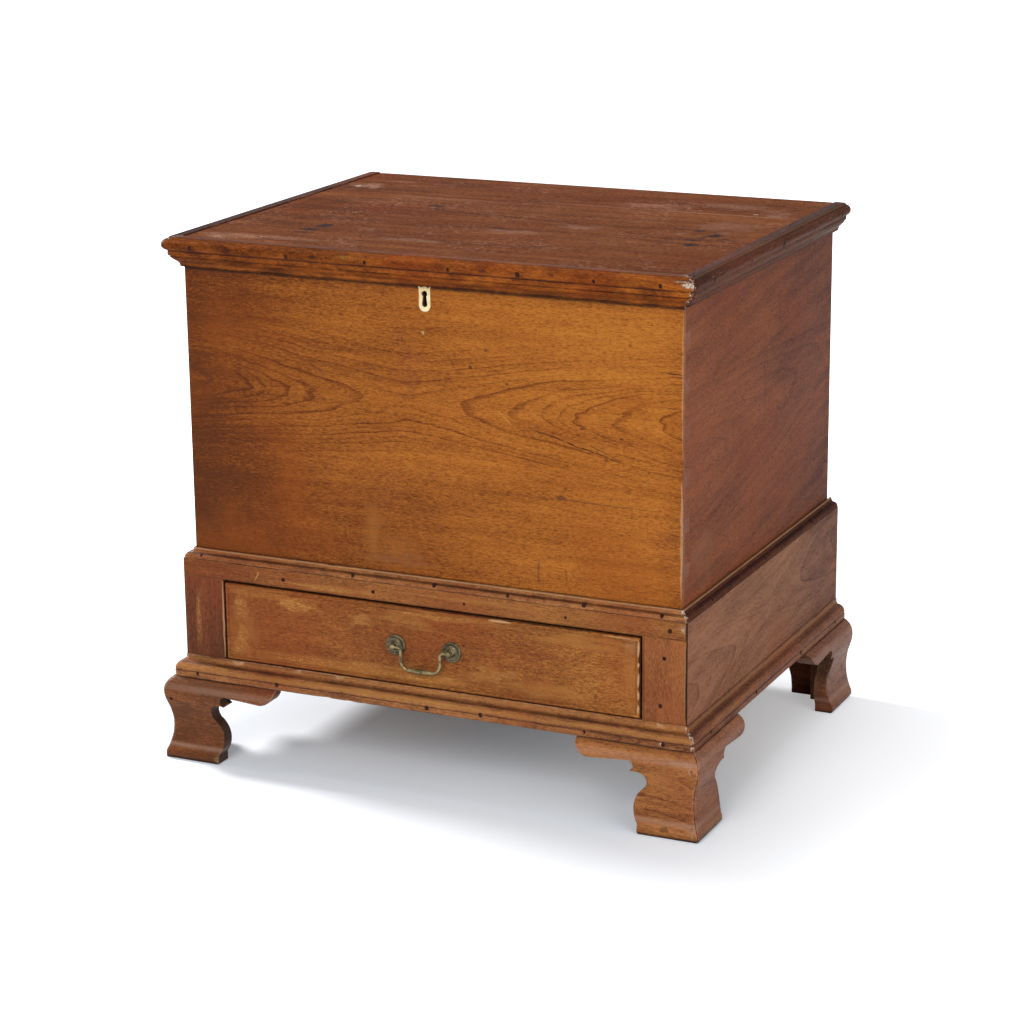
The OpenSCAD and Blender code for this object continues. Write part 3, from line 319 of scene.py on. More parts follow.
# wood finishes; colours are as a screen shows them
woodDefaults = {"rings": 0.3, "pores": 0.3, "fleck": 0.6, "mottle": 0.7, "streaks": 0.45, "fibre": 0.25,
                "blotch": 0.15, "wear": 0.45, "grimeAndShade": 0.7, "roughness": 0.46, "gloss": 0.1}
woods = {
    "front": {
        "pale": (200, 130, 46), "mid": (166, 98, 34), "dark": (108, 53, 14), "deep": (62, 28, 8),
        "worn": (206, 160, 104), "red": (146, 74, 22), "rings": 0.34, "mottle": 0.4, "fleck": 0.66,
        "pores": 0.24},
    "side": {
        "pale": (174, 98, 54), "mid": (144, 79, 44), "dark": (102, 54, 36), "deep": (54, 30, 24),
        "worn": (180, 136, 104), "red": (138, 66, 36), "gloss": 0.025, "pores": 0.24, "fleck": 0.5,
        "rings": 0.14, "streaks": 0.7},
    "lid": {
        "pale": (134, 78, 40), "mid": (104, 55, 26), "dark": (76, 38, 20), "deep": (40, 24, 20),
        "worn": (178, 146, 118), "red": (108, 50, 22), "gloss": 0.008, "roughness": 0.5, "blotch": 0.5,
        "streaks": 1.0, "fibre": 0.4, "fleck": 1.0, "mottle": 0.9, "hazeAndSheen": 0.4},
    "rail": {
        "pale": (188, 124, 64), "mid": (153, 96, 48), "dark": (104, 58, 28), "deep": (48, 24, 14),
        "worn": (186, 138, 92), "red": (130, 62, 30), "blotch": 0.3},
    "stile": {
        "pale": (172, 106, 58), "mid": (145, 87, 48), "dark": (102, 54, 30), "deep": (48, 26, 18),
        "worn": (182, 134, 96), "red": (126, 58, 30), "rings": 0.1},
    "lidBead": {
        "pale": (186, 106, 38), "mid": (138, 74, 30), "dark": (84, 42, 20), "deep": (40, 22, 16),
        "worn": (196, 152, 108), "red": (140, 62, 26), "mottle": 0.9, "streaks": 0.7, "blotch": 1.3,
        "wear": 0.1, "grimeAndShade": 0.9, "rings": 0.1, "roughness": 0.32, "gloss": 0.012},
    "base": {
        "pale": (198, 136, 78), "mid": (156, 100, 58), "dark": (96, 54, 32), "deep": (42, 24, 18),
        "worn": (206, 168, 130), "red": (132, 64, 34), "streaks": 0.8, "blotch": 0.7, "wear": 0.6,
        "grimeAndShade": 0.9, "rings": 0.1, "roughness": 0.34, "gloss": 0.1},
    "purple": {
        "pale": (132, 80, 52), "mid": (98, 55, 37), "dark": (66, 36, 26), "deep": (38, 24, 22),
        "worn": (184, 146, 120), "red": (120, 58, 40), "streaks": 0.9, "blotch": 0.6, "wear": 0.5,
        "grimeAndShade": 0.9, "gloss": 0.008, "rings": 0.15, "roughness": 0.36},
    "sideBase": {
        "pale": (178, 118, 74), "mid": (142, 86, 54), "dark": (96, 54, 36), "deep": (42, 26, 20),
        "worn": (196, 156, 122), "red": (138, 70, 42), "streaks": 0.8, "blotch": 0.7, "wear": 0.55,
        "grimeAndShade": 0.9, "gloss": 0.06, "rings": 0.1, "roughness": 0.42},
    "frameSide": {
        "pale": (194, 136, 100), "mid": (166, 112, 80), "dark": (112, 70, 52), "deep": (56, 34, 28),
        "worn": (186, 146, 118), "red": (150, 88, 58), "gloss": 0.025, "rings": 0.26, "pores": 0.2,
        "fleck": 0.45, "streaks": 0.6},
    "foot": {
        "pale": (216, 152, 82), "mid": (172, 111, 62), "dark": (118, 68, 36), "deep": (46, 26, 18),
        "worn": (200, 156, 126), "red": (136, 68, 42), "rings": 0.22, "wear": 0.45, "blotch": 0.45,
        "gloss": 0.1, "roughness": 0.34},
    "footSide": {
        "pale": (184, 126, 88), "mid": (154, 102, 72), "dark": (112, 68, 50), "deep": (46, 28, 24),
        "worn": (196, 158, 134), "red": (150, 76, 46), "rings": 0.22, "wear": 0.45, "blotch": 0.5,
        "gloss": 0.05, "roughness": 0.34},
    "drawer": {
        "pale": (186, 124, 58), "mid": (144, 86, 38), "dark": (102, 54, 24), "deep": (54, 28, 16),
        "worn": (198, 152, 104), "red": (140, 66, 28), "rings": 0.1, "blotch": 0.4, "mottle": 0.9,
        "fleck": 1.0},
    "strip": {"pale": (108, 62, 40), "mid": (70, 39, 29), "dark": (46, 27, 23)},
    "sawnEdge": {"pale": (150, 118, 92), "mid": (116, 86, 66), "dark": (76, 52, 40)},
    "bare": {
        "pale": (196, 158, 112), "mid": (166, 126, 84), "dark": (126, 90, 58), "deep": (70, 48, 32),
        "worn": (206, 176, 136), "red": (150, 104, 66), "gloss": 0.08, "roughness": 0.7, "pores": 0.2},
}


# what a board takes where its own entry says nothing else
boardDefaults = {"axes": "xzy", "pith": (0, 0, 0), "turn": (0, 0, 0), "depth": 0.05, "slope": 0.08,
                 "round": 0.03, "gap": 0.0045, "wander": 0.016, "figure": 0.08, "reach": 0.0018,
                 "darker": 0.0, "chips": 0.22, "ramps": (), "bands": (), "mitres": (), "marks": {}}
mitreLine = 0.084  # every mitre of the front corners lies where |x| + y has this value
woodTouch = {"darkest": 0.78, "warmScale": 6.5, "warmShare": 0.45, "chipScale": 190.0, "chipReach": 0.0042,
             "dirtScale": 70.0, "dirtReach": 0.0013, "dirtShare": 0.8, "speckScale": 150.0,
             "patchScale": 10.0, "bump": 0.35, "bumpDistance": 0.0005}


def boardTones(tree, tone, look):
    darkest = [value * woodTouch["darkest"] for value in look["dark"]]
    return colourSteps(tree, tone, ((0.0, screen(*look["pale"])), (0.42, screen(*look["mid"])),
                                    (0.8, screen(*look["dark"])), (1.0, screen(*darkest))))


def makeWood(name, entry):
    board = {**boardDefaults, **entry}
    look = {**woodDefaults, **woods[board["wood"]]}
    material, tree = newMaterial(name)
    where = addNode(tree, "ShaderNodeTexCoord").outputs
    place, facing = where["Object"], parted(tree, where["Normal"])
    values = {"Vector": place, "Location": board["pith"], "Rotation": board["turn"]}
    turned = addNode(tree, "ShaderNodeMapping", values, vector_type="TEXTURE").outputs[0]
    parts = dict(zip("xyz", parted(tree, turned)))
    spots = dict(zip("xyz", parted(tree, place)))
    along, across, inward = (parts[axis] for axis in board["axes"])
    grain = useGroup(tree, groups["grain"], {
        "Vector": joined(tree, X=along, Y=across, Z=inward), "Seed": board["seed"],
        "Pith Depth": board["depth"], "Slope": board["slope"], "Round": board["round"],
        "Ring Gap": board["gap"], "Wander": board["wander"], "Figure Width": board["figure"]})
    edges = useGroup(tree, groups["edges"], {"Reach": board["reach"], "Seed": board["seed"]})
    # broad patches first, then streaks, rings and pores over them
    tone = 0.5 + board["darker"]
    for output, weight in (("Mottle", "mottle"), ("Streak", "streaks"), ("Fibre", "fibre"),
                           ("Blotch", "blotch")):
        tone = plus(tree, times(tree, minus(tree, grain[output], 0.5), look[weight]), tone)
    for output, weight in (("Fleck", look["fleck"]), ("Ring Tone", 0.1), ("Ring", look["rings"])):
        tone = plus(tree, times(tree, grain[output], weight), tone)
    for axis, start, end, low, high in board["ramps"]:
        tone = plus(tree, tone, remap(tree, spots[axis], start, end, low, high))
    colour = boardTones(tree, tone, look)
    if "other" in board:
        # faces turned to or from one axis have another colour, such as sawn edges
        axis, start, end, otherWood = board["other"]
        share = remap(tree, calc(tree, "ABSOLUTE", facing[axis]), start, end)
        colour = mixColour(tree, share, colour, boardTones(tree, tone, woods[otherWood]))
    touch = woodTouch
    warmth = cloud(tree, place, touch["warmScale"], 3.0, 0.6)
    warmth = remap(tree, warmth, 0.45, 0.7, 0.0, touch["warmShare"])
    colour = mixColour(tree, warmth, colour, screen(*look["red"]))
    # the grime-and-shade mask darkens hollows, part grime and part painted shade
    for shade, mask, share in (("deep", grain["Pores"], "pores"), ("deep", edges["GrimeAndShade"], "grimeAndShade"),
                               ("worn", edges["Worn"], "wear")):
        colour = tinted(tree, colour, look[shade], mask, look[share])
    for axis, low, high, soft, shade, strength in board["bands"]:
        band = times(tree, remap(tree, spots[axis], low - soft, low + soft),
                     remap(tree, spots[axis], high - soft, high + soft, 1.0, 0.0))
        band = times(tree, band, remap(tree, grain["Blotch"], 0.3, 0.6, 0.55, 1.0))
        colour = tinted(tree, colour, markShades[shade], band, strength)
    for side in board["mitres"]:
        # old dirt in the mitre, with pale chips beside it
        off = plus(tree, times(tree, spots["x"], side), minus(tree, spots["y"], mitreLine))
        off = calc(tree, "ABSOLUTE", off)
        chips = times(tree, remap(tree, cloud(tree, place, touch["chipScale"], 3.0, 0.7), 0.5, 0.58),
                      remap(tree, off, 0.001, touch["chipReach"], board["chips"], 0.0))
        colour = mixColour(tree, chips, colour, screen(*markShades["white"]))
        uneven = remap(tree, cloud(tree, place, touch["dirtScale"], 2.0, 0.5), 0.36, 0.56, 0.4, 1.0)
        dirt = times(tree, uneven, remap(tree, off, 0.0004, touch["dirtReach"], touch["dirtShare"], 0.0))
        colour = mixColour(tree, dirt, colour, screen(*markShades["crackAndShadow"]))
    if "hazeAndSheen" in look:
        # fine pale scratches and dust in patches on faces turned up, with a painted sheen
        specks = remap(tree, cloud(tree, place, touch["speckScale"], 4.0, 0.7), 0.52, 0.66)
        patch = remap(tree, cloud(tree, place, touch["patchScale"], 2.0, 0.5), 0.45, 0.65)
        patch = times(tree, patch, remap(tree, facing["Z"], 0.3, 0.8))
        colour = tinted(tree, colour, markShades["bloomAndHighlight"], times(tree, specks, patch), look["hazeAndSheen"])
    height = minus(tree, times(tree, grain["Fibre"], 0.35), times(tree, grain["Pores"], 0.6))
    for face, rows in board["marks"].items():
        for kind, shade, *marks in rows:
            for strength, *numbers in marks:
                mask = markMask(tree, place, face, kind, numbers, grain)
                colour = tinted(tree, colour, markShades[shade], mask, strength)
                if kind == "line":
                    height = minus(tree, height, mask)
    rough = plus(tree, look["roughness"] - 0.08, times(tree, grain["Mottle"], 0.16))
    for mask, share in ((grain["Pores"], 0.2), (edges["GrimeAndShade"], 0.25)):
        rough = plus(tree, rough, times(tree, mask, share))
    bump = addNode(tree, "ShaderNodeBump", {"Height": height, "Strength": touch["bump"],
                                            "Distance": touch["bumpDistance"]})
    addSkin(tree, {"Base Color": colour, "Roughness": rough, "Normal": bump.outputs[0]}, look["gloss"])
    return material


# some shades also paint light: crack and ink paint shadow in gaps, in quirks and at the floor, and dust and
# bloom paint highlights on the feet
markShades = {
    "inkAndShadow": (38, 28, 32), "crackAndShadow": (40, 22, 14), "pale": (206, 164, 118), "ochre": (196, 140, 72),
    "white": (214, 200, 186), "red": (120, 60, 34), "rust": (70, 34, 20), "umber": (84, 46, 28),
    "dustAndHighlight": (180, 146, 108), "bloomAndHighlight": (178, 140, 120),
}


markRagged = {"spot": 2.0, "scuff": 2.8}
markDepth = 0.006  # how far a spot or scuff reaches into the wood


def markMask(tree, place, face, kind, numbers, grain):
    # face is the plane's axis and place; a mark's numbers are millimetres in that plane
    axis, level = face
    others = [name for name in "xyz" if name != axis]

    def onFace(first, second, deep=level):
        spots = {axis: deep, others[0]: first / 1000, others[1]: second / 1000}
        return tuple(spots[name] for name in "xyz")

    if kind == "line":
        startX, startY, endX, endY, width, wander = numbers
        return useGroup(tree, groups["line"], {
            "Vector": place, "Start": onFace(startX, startY), "End": onFace(endX, endY),
            "Width": width / 1000, "Wander": wander / 1000})["Mask"]
    middleX, middleY, sizeX, sizeY = numbers
    mask = useGroup(tree, groups["spot"], {
        "Vector": place, "Centre": onFace(middleX, middleY), "Size": onFace(sizeX, sizeY, markDepth),
        "Ragged": markRagged[kind]})["Mask"]
    if kind == "spot":
        return remap(tree, mask, 0.15, 0.55)
    # a scuff catches on the fibres and breaks up along them
    broken = plus(tree, times(tree, grain["Fleck"], 2.4), grain["Streak"])
    return times(tree, mask, remap(tree, broken, 0.42, 0.64, 0.05, 1.0))


# a band is an axis, two places on it, its softness, its shade and its strength
# the bands on the feet are painted light and shade: a painted contact shadow at the floor, painted
# highlights on the flare and the bulge, painted shade above the flare and on the pad
footPaintedLight = (("z", -0.001, 0.0042, 0.0014, "crackAndShadow", 0.95), ("z", 0.017, 0.0225, 0.0025, "bloomAndHighlight", 0.4),
             ("z", 0.096, 0.104, 0.003, "bloomAndHighlight", 0.28), ("z", 0.025, 0.034, 0.003, "umber", 0.25),
             ("z", 0.002, 0.008, 0.003, "umber", 0.3))

# marks stand under the face they lie on, given as the axis and place of its plane; a row is a kind
# and a shade, then for each mark its strength, its place or its two ends, and its size
boards = {
    "case_front": {
        "wood": "front", "pith": (-0.03, -0.2535, 0.506), "depth": 0.038, "slope": 0.114, "round": 0.02,
        "gap": 0.0046, "wander": 0.022, "figure": 0.07, "seed": 3, "other": ("X", 0.6, 0.8, "side"),
        # the top z ramp and the top dark band are painted shadow under the lid moulding
        "ramps": (("x", -0.4, -0.1, 0.43, 0.06), ("x", -0.1, 0.26, 0, -0.2), ("x", 0.3, 0.34, 0, 0.1),
            ("z", 0.33, 0.52, 0.12, 0), ("z", 0.62, 0.665, 0, 0.14)),
        "bands": (("z", 0.648, 0.67, 0.0016, "crackAndShadow", 0.8), ("z", 0.27, 0.2836, 0.0007, "crackAndShadow", 0.6)),
        "marks": {("y", -0.2535): (
            ("scuff", "red", (0.55, -23, 548, 24, 36)), ("scuff", "umber", (0.4, -38, 590, 14, 20)),
            ("scuff", "red", (0.35, -60, 400, 30, 60), (0.4, 318, 360, 24, 40)),
            ("line", "crackAndShadow", (0.85, 126, 490, 260, 456, 1.3, 5), (0.6, 203, 479, 262, 456, 1, 4)),
            ("line", "umber", (0.5, 92, 403, 337, 400, 1.4, 5)),
            ("line", "crackAndShadow", (0.8, 314, 571, 336, 570, 1.2, 1), (0.6, 317, 529, 334, 529, 1, 1)),
            ("line", "umber", (0.4, -181, 551, -135, 526, 1.6, 5), (0.4, -135, 526, -44, 552, 1.6, 6)),
            ("line", "ochre", (0.3, 95, 506, 117, 486, 1.4, 3)),
            ("line", "umber", (0.45, 149, 323, 149, 292, 2.6, 3), (0.35, 186, 316, 186, 294, 2.2, 3)),
            ("spot", "inkAndShadow", (0.75, 60, 556, 3, 2.6), (0.6, 109, 539, 2.6, 2.2),
                (0.6, 81, 578, 2.6, 2.2), (0.6, 207, 493, 3, 2.2)),
            ("spot", "rust", (0.7, 259, 485, 3.4, 2.4), (0.6, 179, 404, 9, 4),
                (0.6, 272, 390, 2.6, 2.6), (0.55, 270, 600, 3, 2.6), (0.5, 186, 416, 3, 2),
                (0.5, 148, 609, 3, 2), (0.5, 239, 457, 4, 3), (0.5, 294, 448, 2.4, 2),
                (0.5, 245, 409, 2.4, 2), (0.5, 259, 366, 2.4, 2), (0.5, 269, 367, 2, 2)),
            ("spot", "pale", (0.5, -3, 593, 3, 3)), ("scuff", "ochre", (0.16, -78, 332, 22, 50),
                (0.16, -36, 318, 44, 20)), ("scuff", "dustAndHighlight", (0.16, -50, 300, 60, 12)),
            ("scuff", "ochre", (0.14, -76, 340, 14, 30)),
            ("line", "pale", (0.4, 336.2, 296, 336.2, 440, 2.6, 4),
                (0.3, 336.6, 470, 336.6, 640, 1.6, 4)))}},
    "case_side_right": {
        "wood": "side", "axes": "yzx", "pith": (0.3375, 0.3, 0.5), "turn": (0.12, 0, 0), "slope": 0.12,
        "gap": 0.006, "seed": 9, "figure": 0.1, "ramps": (("y", -0.05, 0.28, 0, 0.26),
            # darker towards the top: painted shade under the lid moulding
            ("z", 0.6, 0.665, 0, 0.06)),
        "marks": {("x", 0.3375): (
            ("line", "crackAndShadow", (0.55, 30, 440, 24, 560, 2, 6), (0.5, 72, 610, 84, 560, 1.8, 5)),
            ("scuff", "red", (0.5, -20, 480, 110, 90)), ("scuff", "umber", (0.4, 160, 470, 60, 40)),
            ("scuff", "dustAndHighlight", (0.16, -190, 330, 50, 50)))}},
    "case_side_left": {
        "wood": "side", "axes": "yzx", "pith": (-0.3375, 0.05, 0.36), "depth": 0.06, "slope": 0.1,
        # the z ramp darkens the top: painted shade under the lid moulding
        "gap": 0.006, "seed": 15, "darker": 0.34, "ramps": (("z", 0.62, 0.665, 0, 0.14),),
        "marks": {("x", -0.3375): (
            ("scuff", "red", (0.4, 60, 520, 90, 60)), ("scuff", "dustAndHighlight", (0.2, -120, 340, 70, 30)),
            ("line", "crackAndShadow", (0.5, 120, 600, 140, 470, 1.2, 5)))}},
    "case_back": {
        "wood": "side", "pith": (0.1, 0.2825, 0.5), "depth": 0.06, "slope": 0.1, "seed": 21,
        "darker": 0.2,
        "marks": {("y", 0.2825): (
            ("scuff", "dustAndHighlight", (0.25, -100, 420, 140, 60)), ("scuff", "umber", (0.4, 170, 560, 90, 50)),
            ("line", "crackAndShadow", (0.6, -330, 470, -120, 476, 1.4, 5)))}},
    "lid_board_front": {
        "wood": "lid", "axes": "xyz", "pith": (0.1, -0.02, 0.689), "depth": 0.06, "gap": 0.007,
        "seed": 27, "ramps": (("x", -0.1, 0.3, 0, -0.14), ("y", 0.05, 0.14, 0, -0.06)),
        "marks": {("z", 0.689): (
            ("spot", "inkAndShadow", (0.95, -209, -118, 13, 17), (0.9, -214, -150, 17, 13),
                (0.7, -211, -170, 20, 7), (0.85, -140, 65, 17, 11), (0.6, -128, 45, 17, 7),
                (0.6, -276, 53, 14, 6)), ("scuff", "inkAndShadow", (0.7, -116, -177, 20, 8),
                (0.7, -23, -118, 22, 8)), ("spot", "inkAndShadow", (0.75, 5, -53, 14, 7)),
            ("scuff", "inkAndShadow", (0.8, 104, -150, 28, 8)), ("spot", "inkAndShadow", (0.6, 158, -104, 11, 6),
                (0.9, 274, -72, 11, 13), (0.9, 280, -4, 13, 14), (0.8, 262, -41, 11, 7),
                (0.7, 250, 22, 10, 11), (0.6, 270, -22, 7, 13), (0.6, 300, -20, 8, 6)),
            ("scuff", "bloomAndHighlight", (0.5, -290, -225, 60, 22), (0.45, -220, -215, 70, 16)),
            ("scuff", "white", (0.35, -300, -236, 14, 8)), ("spot", "white", (0.4, -245, -218, 3, 2)),
            ("scuff", "bloomAndHighlight", (0.4, 100, -10, 42, 24), (0.35, 40, -70, 60, 18),
                (0.25, 272, 60, 50, 60), (0.3, -150, 120, 120, 10), (0.35, -60, -170, 60, 16)),
            ("scuff", "red", (0.4, 20, -100, 100, 40)),
            ("line", "crackAndShadow", (0.75, 40, -92, 180, -60, 1.2, 8)),
            ("line", "umber", (0.5, 180, -60, 335, -11, 1.2, 8)),
            ("line", "ochre", (0.5, -30, -96, 60, -80, 1.6, 6)))}},
    "lid_board_back": {
        "wood": "lid", "axes": "xyz", "pith": (-0.2, 0.2, 0.689), "gap": 0.007, "seed": 33,
        "ramps": (("x", -0.1, 0.3, 0, -0.12),),
        "marks": {("z", 0.689): (
            ("line", "bloomAndHighlight", (0.5, -20, 143.5, 120, 143.5, 1.6, 2),
                (0.6, 110, 143.5, 338, 143.5, 1.8, 2)), ("scuff", "bloomAndHighlight", (0.6, -300, 178, 30, 26),
                (0.5, -270, 225, 30, 10), (0.5, 120, 170, 60, 22), (0.4, 230, 200, 70, 26),
                (0.4, 300, 160, 30, 40)), ("scuff", "inkAndShadow", (0.6, -170, 230, 84, 28)),
            ("spot", "white", (0.5, -314, 172, 5, 7), (0.4, 274, 158, 5, 4)))}},
    "lid_moulding_front": {
        "wood": "lidBead", "seed": 39, "depth": 0.08, "reach": 0.003, "chips": 0.85,
        "other": ("Z", 0.9, 0.97, "lid"), "mitres": (1, -1),
        # the dark bands are dirt and painted shade in the quirks and under the moulding
        "bands": (("z", 0.6722, 0.6748, 0.0006, "inkAndShadow", 0.75), ("z", 0.652, 0.66, 0.001, "umber", 0.35),
            ("z", 0.6645, 0.6662, 0.0004, "crackAndShadow", 0.6), ("z", 0.6588, 0.6598, 0.0004, "crackAndShadow", 0.35),
            ("z", 0.6515, 0.654, 0.0005, "crackAndShadow", 0.8)),
        "marks": {("y", -0.2773): (
            ("spot", "inkAndShadow", (0.6, -140, 681, 8, 3), (0.5, -30, 682, 5, 2.5), (0.6, 90, 680, 7, 3),
                (0.5, 180, 682, 6, 2)), ("scuff", "white", (0.9, 352, 682, 12, 5),
                (0.5, 346, 686, 16, 2)), ("spot", "inkAndShadow", (0.6, -260, 681, 5, 3)),
            # the ochre scuff along the bead is wear with a painted highlight
            ("scuff", "ochre", (0.4, -90, 683, 30, 4)))}},
    "lid_moulding_left": {
        "wood": "purple", "axes": "yzx", "seed": 41, "depth": 0.08, "reach": 0.003,
        "other": ("Z", 0.8, 0.95, "strip"), "mitres": (-1,), "darker": 0.1, "chips": 0.6,
        # dark band: dirt and painted shade in the quirk
        "bands": (("z", 0.6722, 0.6748, 0.0006, "inkAndShadow", 0.2),)},
    "lid_moulding_right": {
        "wood": "purple", "axes": "yzx", "seed": 43, "depth": 0.08, "reach": 0.003, "mitres": (1,),
        "chips": 0.6, "other": ("Z", 0.8, 0.95, "strip"),
        # the dark bands are dirt and painted shade in the quirks
        "bands": (("z", 0.6722, 0.6748, 0.0006, "inkAndShadow", 0.7), ("z", 0.6645, 0.6662, 0.0004, "inkAndShadow", 0.5),
            ("x", 0.353, 0.3542, 0.0004, "dustAndHighlight", 0.16), ("z", 0.6515, 0.654, 0.0005, "inkAndShadow", 0.6)),
        "marks": {("x", 0.3613): (
            ("line", "pale", (0.4, -270, 684, -130, 684, 0.8, 3), (0.35, -80, 684, 60, 683, 0.7, 3)),
            ("line", "white", (0.7, -272, 689, -150, 689.6, 1.2, 2), (0.4, 140, 685, 156, 685, 0.9, 2)),
            ("line", "dustAndHighlight", (0.3, 90, 684, 250, 683, 0.8, 3)))}},
    "waist_moulding_front": {
        "wood": "base", "seed": 45, "depth": 0.08, "mitres": (1, -1), "chips": 1,
        # dark bands are dirt and painted shade in the quirks; the pale band on the top round is wear with a
        # painted highlight
        "bands": (("z", 0.2758, 0.2776, 0.0004, "crackAndShadow", 0.7),
            ("z", 0.2692, 0.2712, 0.0004, "crackAndShadow", 0.6), ("z", 0.2808, 0.2826, 0.0004, "pale", 0.35)),
        "marks": {("y", -0.27): (
            ("line", "white", (0.8, 344, 281, 357, 272, 1.5, 5)),
            ("scuff", "white", (0.6, 352, 276, 9, 5)), ("spot", "white", (0.5, 214, 279, 4, 2),
                (0.5, 262, 277, 3, 2)))}},
    "waist_moulding_left": {
        "wood": "purple", "axes": "yzx", "seed": 47, "depth": 0.08,
        # dark band: dirt and painted shade in the quirk
        "bands": (("z", 0.2758, 0.2776, 0.0004, "inkAndShadow", 0.6),)},
    "waist_moulding_right": {
        "wood": "purple", "axes": "yzx", "seed": 49, "depth": 0.08, "mitres": (1,), "chips": 0.9,
        # dark band: dirt and painted shade in the quirk; pale band: wear with a painted highlight on the
        # top round
        "bands": (("z", 0.2758, 0.2776, 0.0004, "inkAndShadow", 0.6), ("z", 0.281, 0.2826, 0.0004, "pale", 0.55))},
    "frame_top_rail": {
        "wood": "rail", "seed": 51, "depth": 0.06, "ramps": (("x", -0.34, -0.1, 0.2, 0),),
        "other": ("X", 0.6, 0.8, "frameSide"), "bands": (("z", 0.2465, 0.2485, 0.0005, "crackAndShadow", 0.5),),
        "marks": {("y", -0.2661): (
            ("scuff", "ochre", (0.6, -150, 254, 80, 5)),
            ("line", "ochre", (0.6, -238, 264, -245, 251, 1.4, 1)),
            ("scuff", "ochre", (0.4, 60, 262, 120, 5)), ("scuff", "white", (0.6, 344, 262, 7, 7)),
            ("line", "crackAndShadow", (1, 350, 232, 350, 282, 3, 1.4))),
            ("x", 0.3501): (
            ("line", "crackAndShadow", (1, -266, 232, -266, 284, 4, 1.4)),)}},
    "frame_bottom_rail": {
        "wood": "rail", "seed": 53, "depth": 0.06, "darker": 0.12,
        "bands": (("z", 0.1385, 0.1402, 0.0004, "crackAndShadow", 0.5),)},
    "frame_stile_left": {
        "wood": "stile", "axes": "zxy", "seed": 55, "depth": 0.06, "darker": 0.34,
        "marks": {("y", -0.2661): (
            ("line", "pale", (0.45, -293, 142, -293, 245, 1.8, 2)),
            ("scuff", "ochre", (0.4, -330, 190, 6, 50)))}},
    "frame_stile_right": {
        "wood": "stile", "axes": "zxy", "seed": 57, "depth": 0.06, "other": ("X", 0.6, 0.8, "frameSide"),
        "marks": {("y", -0.2661): (
            ("scuff", "red", (0.4, 320, 200, 20, 40)),
            ("line", "umber", (0.6, 293, 142, 293, 245, 2, 1)),
            ("line", "crackAndShadow", (1, 350, 120, 350, 262, 3.4, 1.6)),
            ("line", "pale", (0.4, 346.9, 150, 346.9, 245, 1.1, 3))),
            ("x", 0.3501): (
            ("line", "crackAndShadow", (1, -266, 118, -266, 264, 4.6, 1.6)),
            ("line", "pale", (0.4, -262, 150, -262, 240, 1.2, 2)))}},
    "frame_side_left": {"wood": "frameSide", "axes": "yzx", "seed": 59, "darker": 0.36, "slope": 0.1},
    "frame_side_right": {
        "wood": "frameSide", "axes": "yzx", "seed": 61, "pith": (0.3501, 0.02, 0.2), "depth": 0.04,
        "slope": 0.16, "turn": (0.1, 0, 0), "gap": 0.006, "figure": 0.06,
        "ramps": (("y", 0, 0.29, 0, 0.3),),
        "marks": {("x", 0.3501): (
            ("scuff", "red", (0.3, -60, 180, 120, 30)), ("scuff", "umber", (0.35, 60, 210, 60, 30)),
            ("spot", "inkAndShadow", (0.5, -190, 176, 4, 4)))}},
    "frame_back": {
        "wood": "bare", "seed": 63, "pith": (0.1, 0.2915, 0.2), "darker": 0.3,
        "marks": {("y", 0.2915): (
            ("scuff", "umber", (0.4, 60, 190, 160, 40)), ("spot", "rust", (0.8, -320, 135, 4, 4),
                (0.8, -320, 190, 4, 4), (0.8, -320, 248, 4, 4), (0.8, 320, 135, 4, 4),
                (0.8, 320, 190, 4, 4), (0.8, 320, 248, 4, 4)))}},
    "base_moulding_front": {
        "wood": "base", "seed": 65, "depth": 0.08, "reach": 0.003, "mitres": (1, -1), "chips": 0.85,
        # dark bands are dirt and painted shade in the quirks and above the feet; the ochre bands are
        # painted highlights on the rounds
        "bands": (("z", 0.1193, 0.1207, 0.0004, "crackAndShadow", 0.7),
            ("z", 0.1298, 0.1318, 0.0006, "crackAndShadow", 0.75), ("z", 0.1115, 0.113, 0.0004, "crackAndShadow", 0.6),
            ("z", 0.1225, 0.1275, 0.001, "ochre", 0.25), ("z", 0.1335, 0.1375, 0.001, "ochre", 0.2)),
        "marks": {("y", -0.2795): (
            ("spot", "white", (0.7, 322, 117, 3, 3)), ("spot", "inkAndShadow", (0.6, 355, 116, 5, 3)),
            # the thin ochre scuffs along the round are wear with a painted highlight
            ("scuff", "ochre", (0.5, -60, 128, 150, 4), (0.4, 230, 127, 60, 4))),
            ("y", -0.27): (
            ("line", "white", (0.75, 351, 139.6, 357, 131, 1.4, 4)),
            ("scuff", "white", (0.5, 346, 138, 8, 4)))}},
    "base_moulding_left": {
        "wood": "sideBase", "axes": "yzx", "seed": 67, "depth": 0.08, "reach": 0.003,
        # dark band: dirt and painted shade in the quirk
        "bands": (("z", 0.1192, 0.1212, 0.0005, "inkAndShadow", 0.7),)},
    "base_moulding_right": {
        "wood": "sideBase", "axes": "yzx", "seed": 69, "depth": 0.08, "reach": 0.003, "mitres": (1,),
        # dark bands are dirt and painted shade in the quirks; the ochre band and the ochre scuffs are
        # painted highlights on the round, with wear
        "chips": 0.75, "bands": (("z", 0.1193, 0.1209, 0.0004, "crackAndShadow", 0.7),
            ("z", 0.1298, 0.1318, 0.0006, "crackAndShadow", 0.5), ("z", 0.1335, 0.1375, 0.001, "ochre", 0.3)),
        "marks": {("x", 0.3635): (
            ("scuff", "ochre", (0.45, -120, 127, 120, 5), (0.4, 150, 118, 80, 4)),)}},
    "foot_front_left_face": {
        "wood": "foot", "seed": 71, "pith": (-0.29, -0.28, 0.06), "depth": 0.04, "slope": 0.1,
        "reach": 0.004, "darker": 0.4, "mitres": (-1,), "other": ("Y", 0.35, 0.2, "sawnEdge"),
